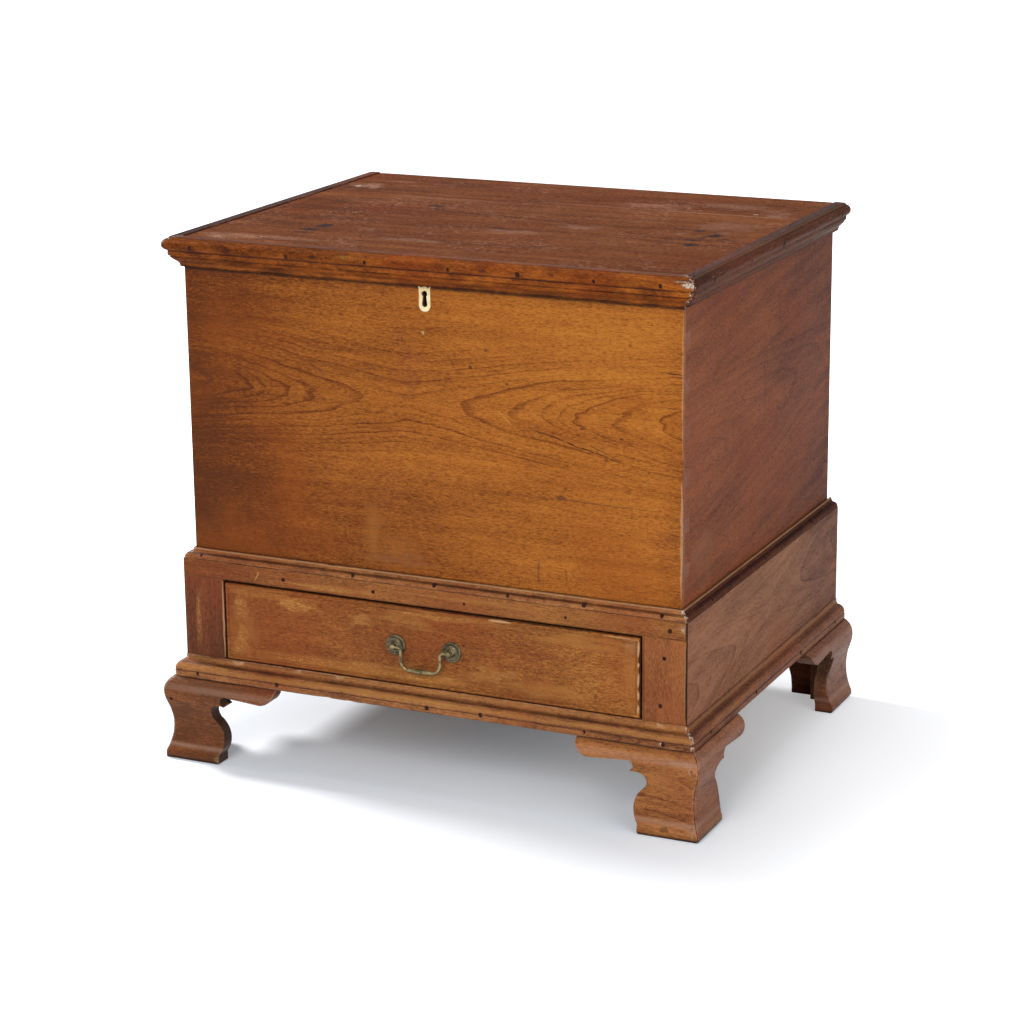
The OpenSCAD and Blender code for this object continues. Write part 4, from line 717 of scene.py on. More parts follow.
        "bands": footPaintedLight,
        "marks": {("y", -0.2915): (
            ("spot", "umber", (0.6, -363, 83, 5, 4)), ("scuff", "ochre", (0.5, -290, 40, 22, 30)),
            ("scuff", "dustAndHighlight", (0.5, -292, 8, 10, 10)),
            # the pale line along the top of the bulge is a painted highlight
            ("line", "pale", (0.5, -225, 104, -212, 110, 1.6, 2)))}},
    "foot_front_right_face": {
        "wood": "foot", "seed": 73, "pith": (0.3, -0.28, 0.07), "depth": 0.035, "slope": 0.12,
        "reach": 0.004, "mitres": (1,), "other": ("Y", 0.35, 0.2, "sawnEdge"), "bands": footPaintedLight,
        "marks": {("y", -0.2915): (
            # the dust, pale and bloom scuffs on the bulge near the top and on the flare near the floor are
            # painted highlights
            ("spot", "umber", (0.6, 330, 12, 9, 5)), ("scuff", "dustAndHighlight", (0.5, 350, 99, 20, 6)),
            ("scuff", "pale", (0.5, 338, 18, 46, 6)), ("scuff", "bloomAndHighlight", (0.8, 366, 24, 9, 24)),
            ("scuff", "pale", (0.3, 250, 106, 40, 4)), ("scuff", "bloomAndHighlight", (0.8, 364, 98, 9, 12)),
            ("spot", "umber", (0.6, 366, 92, 3, 3), (0.5, 305, 34, 6, 3)),
            ("scuff", "ochre", (0.4, 330, 60, 40, 24)))}},
    "foot_front_left_side": {
        "wood": "foot", "axes": "yzx", "seed": 75, "pith": (-0.36, -0.2, 0.05), "darker": 0.2,
        "mitres": (-1,), "other": ("X", 0.35, 0.2, "sawnEdge"), "reach": 0.004},
    "foot_front_right_side": {
        "wood": "footSide", "axes": "yzx", "seed": 77, "pith": (0.36, -0.2, 0.05), "reach": 0.004,
        "darker": 0.06, "mitres": (1,), "other": ("X", 0.35, 0.2, "sawnEdge"), "bands": footPaintedLight,
        "marks": {("x", 0.3755): (
            # the bloom scuff on the flare is a painted highlight
            ("scuff", "red", (0.5, -250, 50, 18, 26)), ("scuff", "bloomAndHighlight", (0.5, -280, 20, 10, 16)),
            ("scuff", "dustAndHighlight", (0.4, -230, 8, 60, 8)))}},
    "foot_rear_left_side": {
        "wood": "footSide", "axes": "yzx", "seed": 79, "pith": (-0.36, 0.2, 0.05), "reach": 0.004,
        "darker": 0.2},
    "foot_rear_right_side": {
        "wood": "footSide", "axes": "yzx", "seed": 81, "pith": (0.36, 0.2, 0.05), "darker": 0.1,
        "reach": 0.004, "other": ("X", 0.35, 0.2, "sawnEdge"), "bands": footPaintedLight,
        "marks": {("x", 0.3755): (
            # the dust strip along the bulge is a painted highlight
            ("scuff", "ochre", (0.4, 270, 20, 24, 14)), ("scuff", "dustAndHighlight", (0.4, 200, 104, 60, 5)))}},
    "foot_rear_left_bracket": {"wood": "purple", "seed": 83},
    "foot_rear_right_bracket": {"wood": "purple", "seed": 85},
    "drawer_front": {
        "wood": "drawer", "seed": 89, "pith": (0.05, -0.2661, 0.3), "depth": 0.1, "slope": 0.03,
        "ramps": (("x", -0.3, -0.1, 0.16, 0), ("x", 0.1, 0.29, 0, -0.06)),
        "marks": {("y", -0.2661): (
            ("scuff", "ochre", (0.7, -186, 226, 34, 12), (0.5, -268, 214, 12, 22),
                (0.4, -266, 170, 14, 22), (0.55, -92, 218, 26, 10), (0.6, -130, 152, 170, 11),
                (0.7, 10, 152, 70, 12), (0.2, -262, 190, 22, 50), (0.35, 150, 158, 110, 14),
                (0.4, -30, 226, 60, 14), (0.5, 90, 168, 40, 14), (0.5, 40, 236, 110, 7),
                # the dark lines along the right, top and bottom edges are painted shadow in the gaps round
                # the drawer; the pale lines inside the right and top edges are wear with a painted
                # highlight
                (0.35, 200, 228, 80, 12)), ("line", "crackAndShadow", (0.95, 287.6, 138, 287.6, 246, 2.4, 3.4)),
            ("line", "pale", (0.7, 286, 147, 286.4, 158, 1.9, 1.5),
                (0.7, 286, 164, 286.4, 176, 1.9, 1.5), (0.7, 286, 181, 286.4, 199, 1.9, 1.5),
                (0.7, 286, 206, 286.4, 212, 1.9, 1.5), (0.7, 286, 219, 286.4, 240, 1.9, 1.5)),
            ("line", "crackAndShadow", (0.9, -60, 243.4, 289, 243.4, 2, 3)),
            ("line", "pale", (0.6, 86, 240.8, 116, 240.8, 2.6, 3), (0.45, 240, 241, 286, 241, 1.4, 3)),
            ("scuff", "ochre", (0.25, 276, 190, 12, 52)), ("scuff", "dustAndHighlight", (0.35, 278, 232, 12, 12)),
            ("line", "crackAndShadow", (0.8, -290, 141, -60, 141, 1.4, 2)),
            ("scuff", "ochre", (0.4, -240, 236, 50, 8)), ("spot", "umber", (0.6, 230, 160, 4, 4)),
            ("scuff", "red", (0.5, -60, 190, 100, 26), (0.5, 130, 200, 90, 26)),
            ("spot", "inkAndShadow", (0.5, 52, 203, 2.4, 2.4)), ("spot", "rust", (0.6, 90, 222, 3, 2)),
            ("line", "crackAndShadow", (0.5, 262, 236, 286, 236, 1.2, 2)))}},
}
# the last number makes a board darker; on the glue blocks it is painted shade, as they stand in the shadow
# under the base
bareBoards = (("foot_glue_blocks", "zxy", 87, 0.5), ("drawer_side_left", "yzx", 91, 0),
              ("drawer_side_right", "yzx", 93, 0), ("drawer_back", "xzy", 95, 0),
              ("drawer_bottom", "xyz", 97, 0), ("drawer_runner_left", "yxz", 99, 0.2),
              ("drawer_runner_right", "yxz", 101, 0.2), ("drawer_guide_left", "yxz", 103, 0.2),
              ("drawer_guide_right", "yxz", 105, 0.2), ("drawer_stops", "xyz", 107, 0),
              ("case_bottom", "xyz", 109, 0.25), ("case_divider", "yzx", 111, 0.1))
for nodeName, axes, seed, darker in bareBoards:
    boards[nodeName] = {"wood": "bare", "axes": axes, "seed": seed, "darker": darker}


metalTouch = {"breakUp": 160.0, "fineScale": 900.0, "grimeAndShade": 0.8, "rubbed": 0.7, "stainRough": 0.18,
              "fineRough": 0.1, "grimeAndShadeDull": 0.5, "bump": 0.15, "bumpDistance": 0.0003}


def makeMetal(name, metal):
    material, tree = newMaterial(name)
    where = addNode(tree, "ShaderNodeTexCoord").outputs
    place, touch = where["Object"], metalTouch
    edges = useGroup(tree, groups["edges"], {"Reach": metal["reach"], "Break Up": touch["breakUp"]})
    tarnishAndShade = remap(tree, cloud(tree, place, metal["stainScale"], 4.0, 0.65), 0.36, 0.66)
    fine = cloud(tree, place, touch["fineScale"], 3.0, 0.6)
    # the side turned to the floor is darker: tarnish where it is rubbed least, and painted shade
    turned = parted(tree, where["Normal"])["Z"]
    tarnishAndShade = calc(tree, "MAXIMUM", tarnishAndShade, remap(tree, turned, -0.75, 0.35, metal["under"], 0.0))
    colour = mixColour(tree, tarnishAndShade, screen(*metal["clean"]), screen(*metal["tarnish"]))
    # hollows are darker and duller from the same mask: patina and painted shade
    colour = tinted(tree, colour, metal["crevice"], edges["GrimeAndShade"], touch["grimeAndShade"])
    colour = tinted(tree, colour, metal["bright"], edges["Worn"], touch["rubbed"])
    rough = plus(tree, metal["roughness"], times(tree, tarnishAndShade, touch["stainRough"]))
    rough = plus(tree, rough, times(tree, fine, touch["fineRough"]))
    bare = minus(tree, metal["metallic"], times(tree, edges["GrimeAndShade"], touch["grimeAndShadeDull"]))
    bump = addNode(tree, "ShaderNodeBump", {"Height": fine, "Strength": touch["bump"],
                                            "Distance": touch["bumpDistance"]})
    values = {"Base Color": colour, "Roughness": rough, "Metallic": bare, "Normal": bump.outputs[0]}
    addSkin(tree, values, metal["gloss"])
    return material


metals = {
    "oldBrass": {
        "clean": (150, 134, 94), "tarnish": (80, 66, 40), "crevice": (22, 18, 12),
        "bright": (236, 224, 190), "stainScale": 150.0, "roughness": 0.14, "metallic": 0.55,
        "reach": 0.0012, "gloss": 0.3, "under": 0.9},
    "dullBrass": {
        "clean": (112, 100, 72), "tarnish": (60, 51, 34), "crevice": (18, 15, 10),
        "bright": (196, 186, 158), "stainScale": 150.0, "roughness": 0.2, "metallic": 0.5,
        "reach": 0.0012, "gloss": 0.3, "under": 0.5},
    "oldIron": {
        "clean": (86, 80, 74), "tarnish": (66, 46, 34), "crevice": (24, 18, 14),
        "bright": (150, 146, 138), "stainScale": 110.0, "roughness": 0.5, "metallic": 0.7,
        "reach": 0.0008, "gloss": 0.3, "under": 0.0},
    "nailHead": {
        "clean": (62, 38, 28), "tarnish": (42, 26, 20), "crevice": (24, 16, 12), "bright": (96, 66, 48),
        "stainScale": 240.0, "roughness": 0.5, "metallic": 0.0, "reach": 0.0004, "gloss": 0.02,
        "under": 0.0},
}
metalNodes = {
    "oldBrass": ("lock_bolt", "lock_catch", "hinge_case_leaf_left", "hinge_case_leaf_right",
                 "hinge_lid_leaf_left", "hinge_lid_leaf_right", "handle_posts", "handle_nuts",
                 "handle_bail"),
    "dullBrass": ("handle_rosettes",),
    "oldIron": ("lock_case", "hinge_pins"),
}


bone = {"clean": (238, 222, 172), "aged": (206, 178, 118), "line": (150, 112, 66),
        "crevice": (70, 44, 24), "reach": 0.0012, "breakUp": 200.0, "grain": (700.0, 700.0, 60.0),
        "patchScale": 120.0, "bump": 0.2, "bumpDistance": 0.0003}


def makeBone():
    material, tree = newMaterial("oldBone")
    place = addNode(tree, "ShaderNodeTexCoord").outputs["Object"]
    edges = useGroup(tree, groups["edges"], {"Reach": bone["reach"], "Break Up": bone["breakUp"]})
    lines = cloud(tree, vectorCalc(tree, "MULTIPLY", place, bone["grain"]), 1.0, 3.0, 0.6)
    patch = cloud(tree, place, bone["patchScale"], 3.0, 0.6)
    aged = remap(tree, patch, 0.35, 0.7)
    colour = mixColour(tree, aged, screen(*bone["clean"]), screen(*bone["aged"]))
    colour = tinted(tree, colour, bone["line"], remap(tree, lines, 0.55, 0.75), 0.5)
    # hollows darkened from the grime-and-shade mask: dirt and painted shade
    colour = tinted(tree, colour, bone["crevice"], edges["GrimeAndShade"], 0.8)
    bump = addNode(tree, "ShaderNodeBump", {"Height": lines, "Strength": bone["bump"],
                                            "Distance": bone["bumpDistance"]})
    addSkin(tree, {"Base Color": colour, "Roughness": remap(tree, patch, 0.3, 0.7, 0.35, 0.5),
                   "Normal": bump.outputs[0]})
    return material


def dress(piece, material):
    piece.data.materials.clear()
    piece.data.materials.append(material)


for nodeName, board in boards.items():
    dress(cadNodes[nodeName], makeWood("wood_" + nodeName, board))
for metalName, nodeNames in metalNodes.items():
    metalMaterial = makeMetal(metalName, metals[metalName])
    for nodeName in nodeNames:
        dress(cadNodes[nodeName], metalMaterial)
dress(cadNodes["keyhole_escutcheon"], makeBone())
print("chest: finishes are on")


# worn pieces: each stands for one solid, with its arrises rounded and rubbed
mergeGap = 0.00001
flatAngle, arrisAngle, smoothAngle, headAngle = radians(0.4), radians(38), radians(40), radians(50)
onMitre = 0.0001  # nearer than this a point lies in a mitre and stays there
nearFloor = 0.0001
rubbing = {"flat": 0.97, "hollow": 0.3, "slowScale": 14.0, "nickScale": 62.0, "nickFrom": 0.25,
           "nickShare": 1.6}


def meshFromNode(nodeName):
    shape = bmesh.new()
    shape.from_mesh(cadNodes[nodeName].data)
    bmesh.ops.remove_doubles(shape, verts=shape.verts, dist=mergeGap)
    bmesh.ops.dissolve_limit(shape, angle_limit=flatAngle, verts=shape.verts, edges=shape.edges)
    return shape


def splitFaces(shape, place, way):
    everything = shape.verts[:] + shape.edges[:] + shape.faces[:]
    bmesh.ops.bisect_plane(shape, geom=everything, dist=mergeGap / 2, plane_co=place, plane_no=way)


def sliceMesh(shape, nodeName, axis, step):
    low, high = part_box(nodeName)
    index = "xyz".index(axis)
    count = max(1, round((high[index] - low[index]) / step))
    for number in range(1, count):
        place, way = Vector((0, 0, 0)), Vector((0, 0, 0))
        place[index] = low[index] + (high[index] - low[index]) * number / count
        way[index] = 1.0
        splitFaces(shape, place, way)


def mitreOffset(place):
    return abs(place.x) + place.y - mitreLine


def roundMitres(shape, nodeName, size, side):
    # both pieces of a corner are turned to one round, so that their joint stays closed
    fullDepth = 0.004
    for reach in (0.12, 0.3, 0.5, 0.75, 1.0):
        for way in (-1, 1):
            for hand in (-1, 1):
                splitFaces(shape, (hand * (mitreLine + way * reach * size), 0, 0), (hand, 1, 0))
    low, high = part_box(nodeName)
    back = min(abs(low[0]), abs(high[0])) if side else high[1]
    for point in shape.verts:
        hand = 1 if point.co.x > 0 else -1
        # the back of the piece stays square
        depth = abs(point.co.x) - back if side else back - point.co.y
        worn = size * (1 + 0.25 * noise.noise(Vector((hand, 5, point.co.z * 70))))
        away = abs(mitreOffset(point.co)) / worn
        if away >= 1 or depth <= 0:
            continue
        turn, share = pi / 4 * (1 + away), min(1, depth / fullDepth)
        along = worn * (1 - cos(turn) - away) * share
        inward = worn * (1 - sin(turn)) * share
        point.co += Vector((-hand * inward, along, 0)) if side else Vector((-hand * along, inward, 0))


def roundSoles(shape, size, side):
    # the pads are worn round at the floor; both pieces of a foot share the same limits at their mitre
    for share in (0.1, 0.3, 0.6, 1.0):
        splitFaces(shape, (0, 0, size * share), (0, 0, 1))
    soles = [point.co.copy() for point in shape.verts if point.co.z < nearFloor]
    hand, rear = (1 if soles[0].x > 0 else -1), soles[0].y > 0
    farAway = 1.0  # stands for a side that isn't rounded
    endX, frontY, endY = -farAway, -farAway, farAway
    if side:
        outerX = max(abs(place.x) for place in soles)
        if rear:
            frontY = min(place.y for place in soles)
        else:
            frontY, endY = mitreLine - outerX, max(place.y for place in soles)
    else:
        frontY, endX = min(place.y for place in soles), min(abs(place.x) for place in soles)
        outerX = mitreLine - frontY
    for point in shape.verts:
        place = point.co
        worn = size * (0.85 + 0.15 * noise.noise(Vector((place.x * 40, place.y * 40, 3))))
        if place.z < worn:
            inward = worn * (1 - (1 - (1 - place.z / worn) ** 2) ** 0.5)
            place.x = hand * max(min(abs(place.x), outerX - inward), endX + inward)
            place.y = max(min(place.y, endY - inward), frontY + inward)
    bmesh.ops.remove_doubles(shape, verts=shape.verts, dist=mergeGap)
    bmesh.ops.dissolve_degenerate(shape, edges=shape.edges, dist=mergeGap / 10)


def rubArrises(shape, rub, seed):
    # points on an arris move into the wood, more in some places than in others
    shape.normal_update()
    moves = []
    for point in shape.verts:
        ways = [face.normal for face in point.link_faces]
        spread = min((point.normal.dot(way) for way in ways), default=1.0)
        hollow = any(not edge.is_convex and edge.calc_face_angle(0.0) > rubbing["hollow"]
                     for edge in point.link_edges)
        if spread > rubbing["flat"] or hollow or abs(mitreOffset(point.co)) < onMitre:
            continue
        place = point.co + Vector((seed, seed * 0.37, seed * 0.73))
        slow = 0.5 + 0.5 * noise.noise(place * rubbing["slowScale"])
        nick = noise.noise(place * rubbing["nickScale"]) - rubbing["nickFrom"]
        nick = max(0.0, nick) * rubbing["nickShare"]
        moves.append((point, point.normal * -(rub * (0.25 * slow + nick))))
    for point, move in moves:
        point.co += move


bodyOf = {node: body for body, nodes in frame["record"]["behaviour"]["bodies"].items() for node in nodes}


def finishPiece(shape, kind, nodeName):
    # the piece stands for one solid, with its body and its finish
    name = kind + nodeName
    mesh = bpy.data.meshes.new(name)
    shape.to_mesh(mesh)
    shape.free()
    mesh.shade_smooth()
    mesh.set_sharp_from_angle(angle=smoothAngle)
    piece = newObject(name, mesh)
    dress(piece, cadNodes[nodeName].data.materials[0])
    even = piece.modifiers.new("evenShading", "WEIGHTED_NORMAL")
    even.keep_sharp = True
    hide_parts(nodeName)
    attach(piece, bodyOf[nodeName])
    return piece


wornDefaults = {"round": 0.001, "rub": 0.0012, "shortest": 0.02, "segments": 2, "step": 0.006}
lidWear = {"round": 0.0012, "rub": 0.0018, "corner": 0.01}
footWear = {"round": 0.0013, "rub": 0.0016, "shortest": 0.003, "pad": 0.0036}
frontFootWear = {**footWear, "corner": 0.006}
boardWear = {"along": "x", "step": 0.012, "round": 0.0006}
wornPieces = {"lid_board_front": boardWear, "lid_board_back": boardWear}
for part, changes in (("lid_moulding_", lidWear), ("waist_moulding_", {"corner": 0.003}),
                      ("base_moulding_", {"rub": 0.0018, "corner": 0.005})):
    for side, axis in (("front", "x"), ("left", "y"), ("right", "y")):
        wornPieces[part + side] = {"along": axis, **changes}
for part in ("front_left_face", "front_left_side", "front_right_face", "front_right_side",
             "rear_left_side", "rear_right_side"):
    axes = "xz" if part.endswith("_face") else "yz"
    wornPieces["foot_" + part] = {"along": axes, **(frontFootWear if "front" in part else footWear)}
wornPieces["drawer_front"] = {"along": "x", "round": 0.0009, "rub": 0.0016}
wornObjects = {}
for nodeName, changes in wornPieces.items():
    worn = {**wornDefaults, **changes}
    shape = meshFromNode(nodeName)
    arrises = [edge for edge in shape.edges if len(edge.link_faces) == 2 and edge.is_convex
               and edge.calc_face_angle() > arrisAngle and edge.calc_length() > worn["shortest"]
               and any(abs(mitreOffset(v.co)) > onMitre for v in edge.verts)]
    bmesh.ops.bevel(shape, geom=arrises, offset=worn["round"], offset_type="OFFSET", profile=0.5,
                    segments=worn["segments"], affect="EDGES", clamp_overlap=True)
    for axis in worn["along"]:
        sliceMesh(shape, nodeName, axis, worn["step"])
    if "corner" in worn:
        roundMitres(shape, nodeName, worn["corner"], side=not nodeName.endswith(("_front", "_face")))
    if "pad" in worn:
        roundSoles(shape, worn["pad"], side=not nodeName.endswith("_face"))
    rubArrises(shape, worn["rub"], boards[nodeName]["seed"])
    gaps = sum(1 for edge in shape.edges if not edge.is_manifold)
    print("chest: worn", nodeName, len(shape.faces), "faces", gaps, "open edges")
    wornObjects[nodeName] = finishPiece(shape, "worn_", nodeName)


# handle: dished rosettes are turned anew, the bail is a little fuller than the solid's
# the profile is radius and height in millimetres, from the rim to the post
rosetteProfile = ((13.6, 0), (13.6, 0.7), (13.3, 1.5), (12.7, 2.2), (12.0, 2.5), (11.3, 2.3), (10.7, 1.8),
                  (10.1, 1.2), (9.2, 0.95), (7.8, 1.0), (6.6, 1.4), (5.7, 2.1), (5.0, 3.1), (4.4, 4.2),
                  (3.6, 5.0), (2.4, 5.4))
bailShape = {"fuller": 0.0002, "shoulder": 0.00045, "shoulderX": 0.011, "shoulderReach": 0.01,
             "shoulderBelow": 0.18, "pivotBelow": 0.1885, "fade": 0.005}


def turnRosettes(sides=48):
    low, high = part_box("handle_rosettes")
    reach = rosetteProfile[0][0] / 1000
    height = (low[2] + high[2]) / 2
    shape = bmesh.new()
    for middle in (low[0] + reach, high[0] - reach):
        rings = []
        for radius, rise in rosetteProfile:
            spokes = [(cos(2 * pi * n / sides), sin(2 * pi * n / sides)) for n in range(sides)]
            rings.append([shape.verts.new((middle + radius / 1000 * across, high[1] - rise / 1000,
                                           height + radius / 1000 * up)) for across, up in spokes])
        for outer, inner in zip(rings, rings[1:]):
            for n in range(sides):
                after = (n + 1) % sides
                shape.faces.new((outer[n], outer[after], inner[after], inner[n]))
        shape.faces.new(rings[0])
        shape.faces.new(rings[-1])
    bmesh.ops.recalc_face_normals(shape, faces=shape.faces)
    return shape


def fillBail():
    shape = meshFromNode("handle_bail")
    shape.normal_update()
    low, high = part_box("handle_bail")
    middle = (low[0] + high[0]) / 2
    bail = bailShape
    for point in shape.verts:
        # the ends in the posts keep their size
        free = min(max((bail["pivotBelow"] - point.co.z) / bail["fade"], 0), 1)
        off = (abs(point.co.x - middle) - bail["shoulderX"]) / bail["shoulderReach"]
        shoulder = max(0, 1 - off ** 2) if point.co.z < bail["shoulderBelow"] else 0
        point.co += point.normal * (bail["fuller"] * free + bail["shoulder"] * shoulder ** 2)
    return shape


finishPiece(turnRosettes(), "cast_", "handle_rosettes")
finishPiece(meshFromNode("handle_posts"), "cast_", "handle_posts")
finishPiece(fillBail(), "cast_", "handle_bail")
print("chest: worn pieces are made")


# nails and screws, set by geometry nodes on points found on the surfaces
headSizes = (0.82, 1.15)  # least and greatest share of the size given
slotBar, slotRise = (2.0, 0.17, 0.5), 0.36


def buildHeadsTree(name, slotted):
    tree = bpy.data.node_groups.new(name, "GeometryNodeTree")
    tree.is_modifier = True
    sockets = {}
    for label, kind in (("Geometry", "Geometry"), ("Head Width", "Float"), ("Head Height", "Float"),
                        ("Seed", "Int"), ("Finish", "Material")):
        socket = tree.interface.new_socket(label, in_out="INPUT", socket_type="NodeSocket" + kind)
        sockets[label] = socket.identifier
    tree.interface.new_socket("Geometry", in_out="OUTPUT", socket_type="NodeSocketGeometry")
    given = tree.nodes.new("NodeGroupInput").outputs
    result = tree.nodes.new("NodeGroupOutput").inputs
    size = joined(tree, X=given["Head Width"], Y=given["Head Width"], Z=given["Head Height"])

    def sized(geometry, **values):
        values.update(Geometry=geometry, Scale=size)
        return addNode(tree, "GeometryNodeTransform", values).outputs[0]

    def randomValue(low, high):
        values = {2: low, 3: high, "Seed": given["Seed"]}
        return addNode(tree, "FunctionNodeRandomValue", values, data_type="FLOAT").outputs[1]

    ball = addNode(tree, "GeometryNodeMeshUVSphere", {"Segments": 18, "Rings": 10, "Radius": 0.5})
    head = sized(ball.outputs["Mesh"])
    if slotted:
        bar = addNode(tree, "GeometryNodeMeshCube", {"Size": slotBar}).outputs["Mesh"]
        bar = sized(bar, Translation=joined(tree, Z=times(tree, given["Head Height"], slotRise)))
        head = addNode(tree, "GeometryNodeMeshBoolean", {"Mesh 1": head, "Mesh 2": bar},
                       operation="DIFFERENCE", solver="EXACT").outputs["Mesh"]
    points = addNode(tree, "GeometryNodeMeshToPoints", {"Mesh": given["Geometry"]}).outputs[0]
    facing = addNode(tree, "GeometryNodeInputNamedAttribute", {"Name": "facing"},
                     data_type="FLOAT_VECTOR").outputs["Attribute"]
    aim = addNode(tree, "FunctionNodeAlignRotationToVector", {"Vector": facing}, axis="Z").outputs[0]
    heads = addNode(tree, "GeometryNodeInstanceOnPoints", {
        "Points": points, "Instance": head, "Rotation": aim, "Scale": randomValue(*headSizes)}).outputs[0]
    spin = joined(tree, Z=randomValue(0.0, pi))
    turned = addNode(tree, "GeometryNodeRotateInstances", {"Instances": heads, "Rotation": spin}).outputs[0]
    real = addNode(tree, "GeometryNodeRealizeInstances", {"Geometry": turned}).outputs[0]
    finish = addNode(tree, "GeometryNodeSetMaterial", {"Geometry": real, "Material": given["Finish"]})
    tree.links.new(finish.outputs[0], result["Geometry"])
    return tree, sockets


headTrees = {"nail": buildHeadsTree("nailHeads", False), "screw": buildHeadsTree("screwHeads", True)}


def surfacePoint(nodeName, start, way):
    mesh = wornObjects.get(nodeName, cadNodes[nodeName]).data
    finder = surfaceFinders.get(nodeName)
    if finder is None:
        corners = [point.co for point in mesh.vertices]
        finder = BVHTree.FromPolygons(corners, [face.vertices for face in mesh.polygons])
        surfaceFinders[nodeName] = finder
    place, normal, face, away = finder.ray_cast(Vector(start), Vector(way))
    if place is None:
        raise ValueError(f"no surface of {nodeName} at {start}")
    return place, normal


def setHeads(name, head, body, spots):
    # spots: node, start of the ray in millimetres and its direction
    tree, sockets = headTrees[head["tree"]]
    mesh = bpy.data.meshes.new(name)
    found = [surfacePoint(node, [v / 1000 for v in start], way) for node, start, way in spots]
    mesh.from_pydata([place - normal * head["height"] * head["sunk"] for place, normal in found], [], [])
    facing = mesh.attributes.new("facing", "FLOAT_VECTOR", "POINT")
    facing.data.foreach_set("vector", [value for place, normal in found for value in normal])
    points = newObject(name, mesh)
    setter = points.modifiers.new("heads", "NODES")
    setter.node_group = tree
    for label, value in (("Head Width", head["width"]), ("Head Height", head["height"]),
                         ("Seed", headSeed), ("Finish", head["material"])):
        setter[sockets[label]] = value
    bpy.context.view_layer.update()
    shown = points.evaluated_get(bpy.context.evaluated_depsgraph_get())
    whole = bpy.data.meshes.new_from_object(shown)
    points.modifiers.remove(setter)
    points.data = whole
    whole.name = name
    whole.shade_smooth()
    whole.set_sharp_from_angle(angle=headAngle)
    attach(points, body)
    print("chest:", name, len(found), "heads")


headSeed = 7
heads = {
    "nail": {"tree": "nail", "width": 0.0064, "height": 0.0012, "sunk": 0.3, "slot": "iron",
             "material": makeMetal("nailIron", metals["nailHead"])},
    "hingeScrew": {"tree": "screw", "width": 0.0066, "height": 0.0006, "sunk": 0.08, "slot": "brass",
                   "material": makeMetal("screwBrass", metals["oldBrass"])},
    "lockScrew": {"tree": "screw", "width": 0.0056, "height": 0.0005, "sunk": 0.08, "slot": "iron",
                  "material": makeMetal("screwIron", metals["oldIron"])},
}
surfaceFinders = {}
# for each row of nails the places along it and the heights, in millimetres
nailRows = {
    "lid": (("lid_moulding_front", "front", (-315, -178, -69, 43, 135, 233, 317),
             (679, 678, 679, 678, 679, 678, 679)),
            ("lid_moulding_right", "right", (-215, -90, 25, 140, 250), (679, 678, 679, 678, 679)),
            ("lid_moulding_left", "left", (-205, -70, 60, 170, 255), (678, 679, 678, 679, 678))),
    "chest": (("frame_top_rail", "front", (-203, -74, 53, 190, 327), (257.5,) * 5),
              ("waist_moulding_front", "front", (-324, -103, 11, 112, 214, 316),
               (276, 275, 276, 275, 276, 275)),
              ("frame_stile_right", "front", (320, 315), (222, 161)),
              ("base_moulding_front", "front", (-328, -210, 5, 79, 220, 324),
               (118, 119, 118, 119, 118, 117)),
              ("base_moulding_right", "right", (-220, -60, 110, 250), (118, 119, 118, 119)),
              ("base_moulding_left", "left", (-230, -50, 90, 245), (119, 118, 119, 118)),
              ("waist_moulding_right", "right", (-180, 10, 190), (276,) * 3),
              ("waist_moulding_left", "left", (-170, 20, 200), (276,) * 3),
              ("foot_front_left_face", "front", (-363,), (83,))),
}
outside = 500  # well outside the chest, where the rays start
hingeScrewY, hingeMiddleX, hingeScrewSteps = 274.5, 227.5, (-21, 0, 21)
lockScrewX, lockScrewHeights = 34, (626, 656)


def sideRay(side, place, level):
    if side == "front":
        return (place, -outside, level), (0, 1, 0)
    hand = 1 if side == "right" else -1
    return (hand * outside, place, level), (-hand, 0, 0)


for body, rows in nailRows.items():
    spots = [(node, *sideRay(side, place, level)) for node, side, places, levels in rows
             for place, level in zip(places, levels)]
    setHeads("nails_" + body, heads["nail"], body, spots)
for body, leaf, height, way in (("chest", "hinge_case_leaf_", 700, -1), ("lid", "hinge_lid_leaf_", 600, 1)):
    spots = [(leaf + side, (middle + step, hingeScrewY, height), (0, 0, way))
             for side, middle in (("left", -hingeMiddleX), ("right", hingeMiddleX))
             for step in hingeScrewSteps]
    setHeads("hinge_screws_" + body, heads["hingeScrew"], body, spots)
lockSpots = [("lock_case", (x, 0, z), (0, -1, 0)) for x in (-lockScrewX, lockScrewX)
             for z in lockScrewHeights]
setHeads("lock_screws", heads["lockScrew"], "chest", lockSpots)
print("chest: nails and screws are set")


# floor, light and camera
def backdropRays(tree):
    # the camera, metal and glass see the backdrop's own white
    path = addNode(tree, "ShaderNodeLightPath").outputs
    seen = calc(tree, "MAXIMUM", path["Is Camera Ray"], path["Is Glossy Ray"])
    return calc(tree, "MAXIMUM", seen, path["Is Transmission Ray"])


paperFloor = {"size": 14.0, "paper": (0.87, 0.895, 0.935, 1.0), "least": 0.1,
              "shade": (0.6, 0.82, 1.0, 1.0), "white": (0.97, 0.98, 1.0, 1.0),
              "darkest": (-0.14, -0.05, 0.0), "right": (1.0, 0.4, 0.0)}


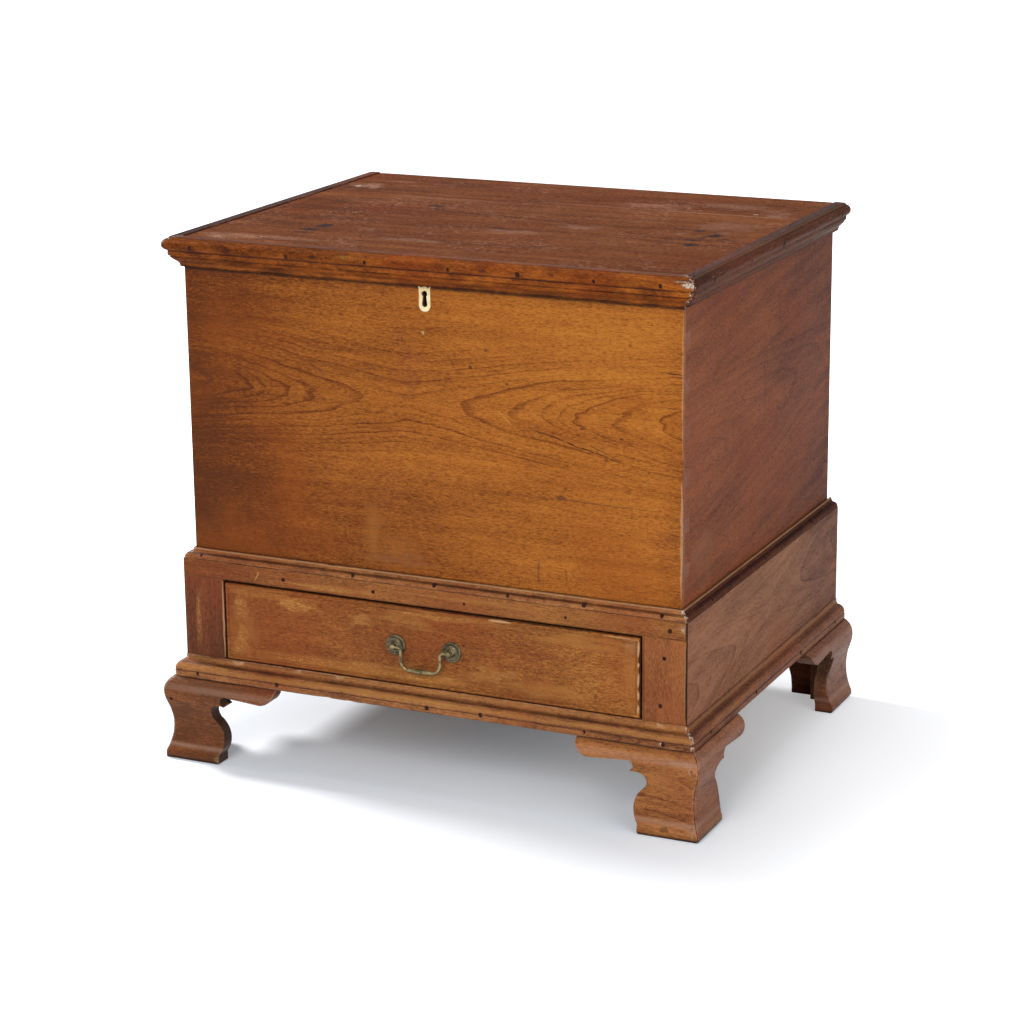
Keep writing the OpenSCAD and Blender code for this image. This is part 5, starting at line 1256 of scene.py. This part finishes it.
def floorWithPaintedShadow():
    look, size = paperFloor, paperFloor["size"]
    mesh = bpy.data.meshes.new("studioFloor")
    corners = [(-size, -size, 0), (size, -size, 0), (size, size, 0), (-size, size, 0)]
    mesh.from_pydata(corners, [], [(0, 1, 2, 3)])
    floor = newObject("studioFloor", mesh)
    material, tree = newMaterial("studioPaper")
    paper = addNode(tree, "ShaderNodeBsdfDiffuse", {"Color": look["paper"]})
    place = addNode(tree, "ShaderNodeTexCoord").outputs["Object"]
    # painted light on the floor: it glows least under the chest, more to its right and all round it, then
    # up to white, which paints the chest's shadow; the glow is bluer where it is low
    under = vectorCalc(tree, "LENGTH", vectorCalc(tree, "SUBTRACT", place, look["darkest"]))
    right = vectorCalc(tree, "DOT_PRODUCT", place, look["right"])
    away = vectorCalc(tree, "LENGTH", place)
    glow = look["least"]
    for distance, start, end, strength in ((under, 0.04, 0.34, 0.1), (right, 0.2, 0.52, 0.21),
                                           (away, 0.42, 0.9, 0.3), (away, 0.9, 2.4, 0.6)):
        glow = plus(tree, remap(tree, distance, start, end, 0.0, strength), glow)
    tint = mixColour(tree, remap(tree, glow, 0.1, 0.3), look["shade"], look["white"])
    glow = times(tree, backdropRays(tree), glow)
    light = addNode(tree, "ShaderNodeEmission", {"Color": tint, "Strength": glow})
    both = addNode(tree, "ShaderNodeAddShader", {0: paper.outputs[0], 1: light.outputs[0]})
    addNode(tree, "ShaderNodeOutputMaterial", {"Surface": both.outputs[0]})
    dress(floor, material)


studio = {
    "ambient": 0.2,
    "lamps": {
        "windowLamp": {"place": (-2.75, 0.4, 2.1), "aim": (0, 0, 0.2), "size": 0.75, "power": 120},
        "frontLamp": {"place": (0.3, -3.7, 2.5), "aim": (0, 0, 0.4), "size": 2.2, "power": 76},
        "rightLamp": {"place": (2.7, -1.9, 1.5), "aim": (0, 0, 0.35), "size": 2.2, "power": 34},
        "topLamp": {"place": (-0.3, 0.2, 4.6), "aim": (0, 0, 0.0), "size": 2.4, "power": 34},
    },
}


def lightStudio():
    for name, lamp in studio["lamps"].items():
        light = bpy.data.lights.new(name, "AREA")
        light.shape = "DISK"
        light.size = lamp["size"]
        light.energy = lamp["power"]
        holder = newObject(name, light)
        holder.location = lamp["place"]
        ahead = Vector(lamp["aim"]) - Vector(lamp["place"])
        holder.rotation_euler = ahead.to_track_quat("-Z", "Y").to_euler()
    world = bpy.data.worlds.new("studioAir")
    scene.world = world
    world.use_nodes = True
    tree = world.node_tree
    tree.nodes.clear()
    strength = remap(tree, backdropRays(tree), 0.0, 1.0, studio["ambient"], 1.0)
    air = addNode(tree, "ShaderNodeBackground", {"Color": (1, 1, 1, 1), "Strength": strength})
    addNode(tree, "ShaderNodeOutputWorld", {"Surface": air.outputs[0]})


photoCamera = {"lens": 100.0, "sensor": 36.0, "place": (1.5276, -3.2782, 1.3304),
               "azimuth": -25.05, "down": 15.9, "roll": -0.59, "clipEnd": 60.0}


def setCamera():
    data = bpy.data.cameras.new("photoCamera")
    data.lens = photoCamera["lens"]
    data.sensor_width = photoCamera["sensor"]
    data.clip_end = photoCamera["clipEnd"]
    camera = newObject("photoCamera", data)
    azimuth, down, roll = (radians(photoCamera[key]) for key in ("azimuth", "down", "roll"))
    ahead = Vector((sin(azimuth) * cos(down), cos(azimuth) * cos(down), -sin(down)))
    right = Vector((cos(azimuth), -sin(azimuth), 0.0))
    up = right.cross(ahead)
    turnedRight = right * cos(roll) + up * sin(roll)
    turnedUp = up * cos(roll) - right * sin(roll)
    axes = Matrix((turnedRight, turnedUp, -ahead)).transposed()
    camera.matrix_world = Matrix.Translation(photoCamera["place"]) @ axes.to_4x4()
    scene.camera = camera


floorWithPaintedShadow()
lightStudio()
setCamera()
scene.view_settings.view_transform = "Standard"
print("chest: floor, light and camera are set")
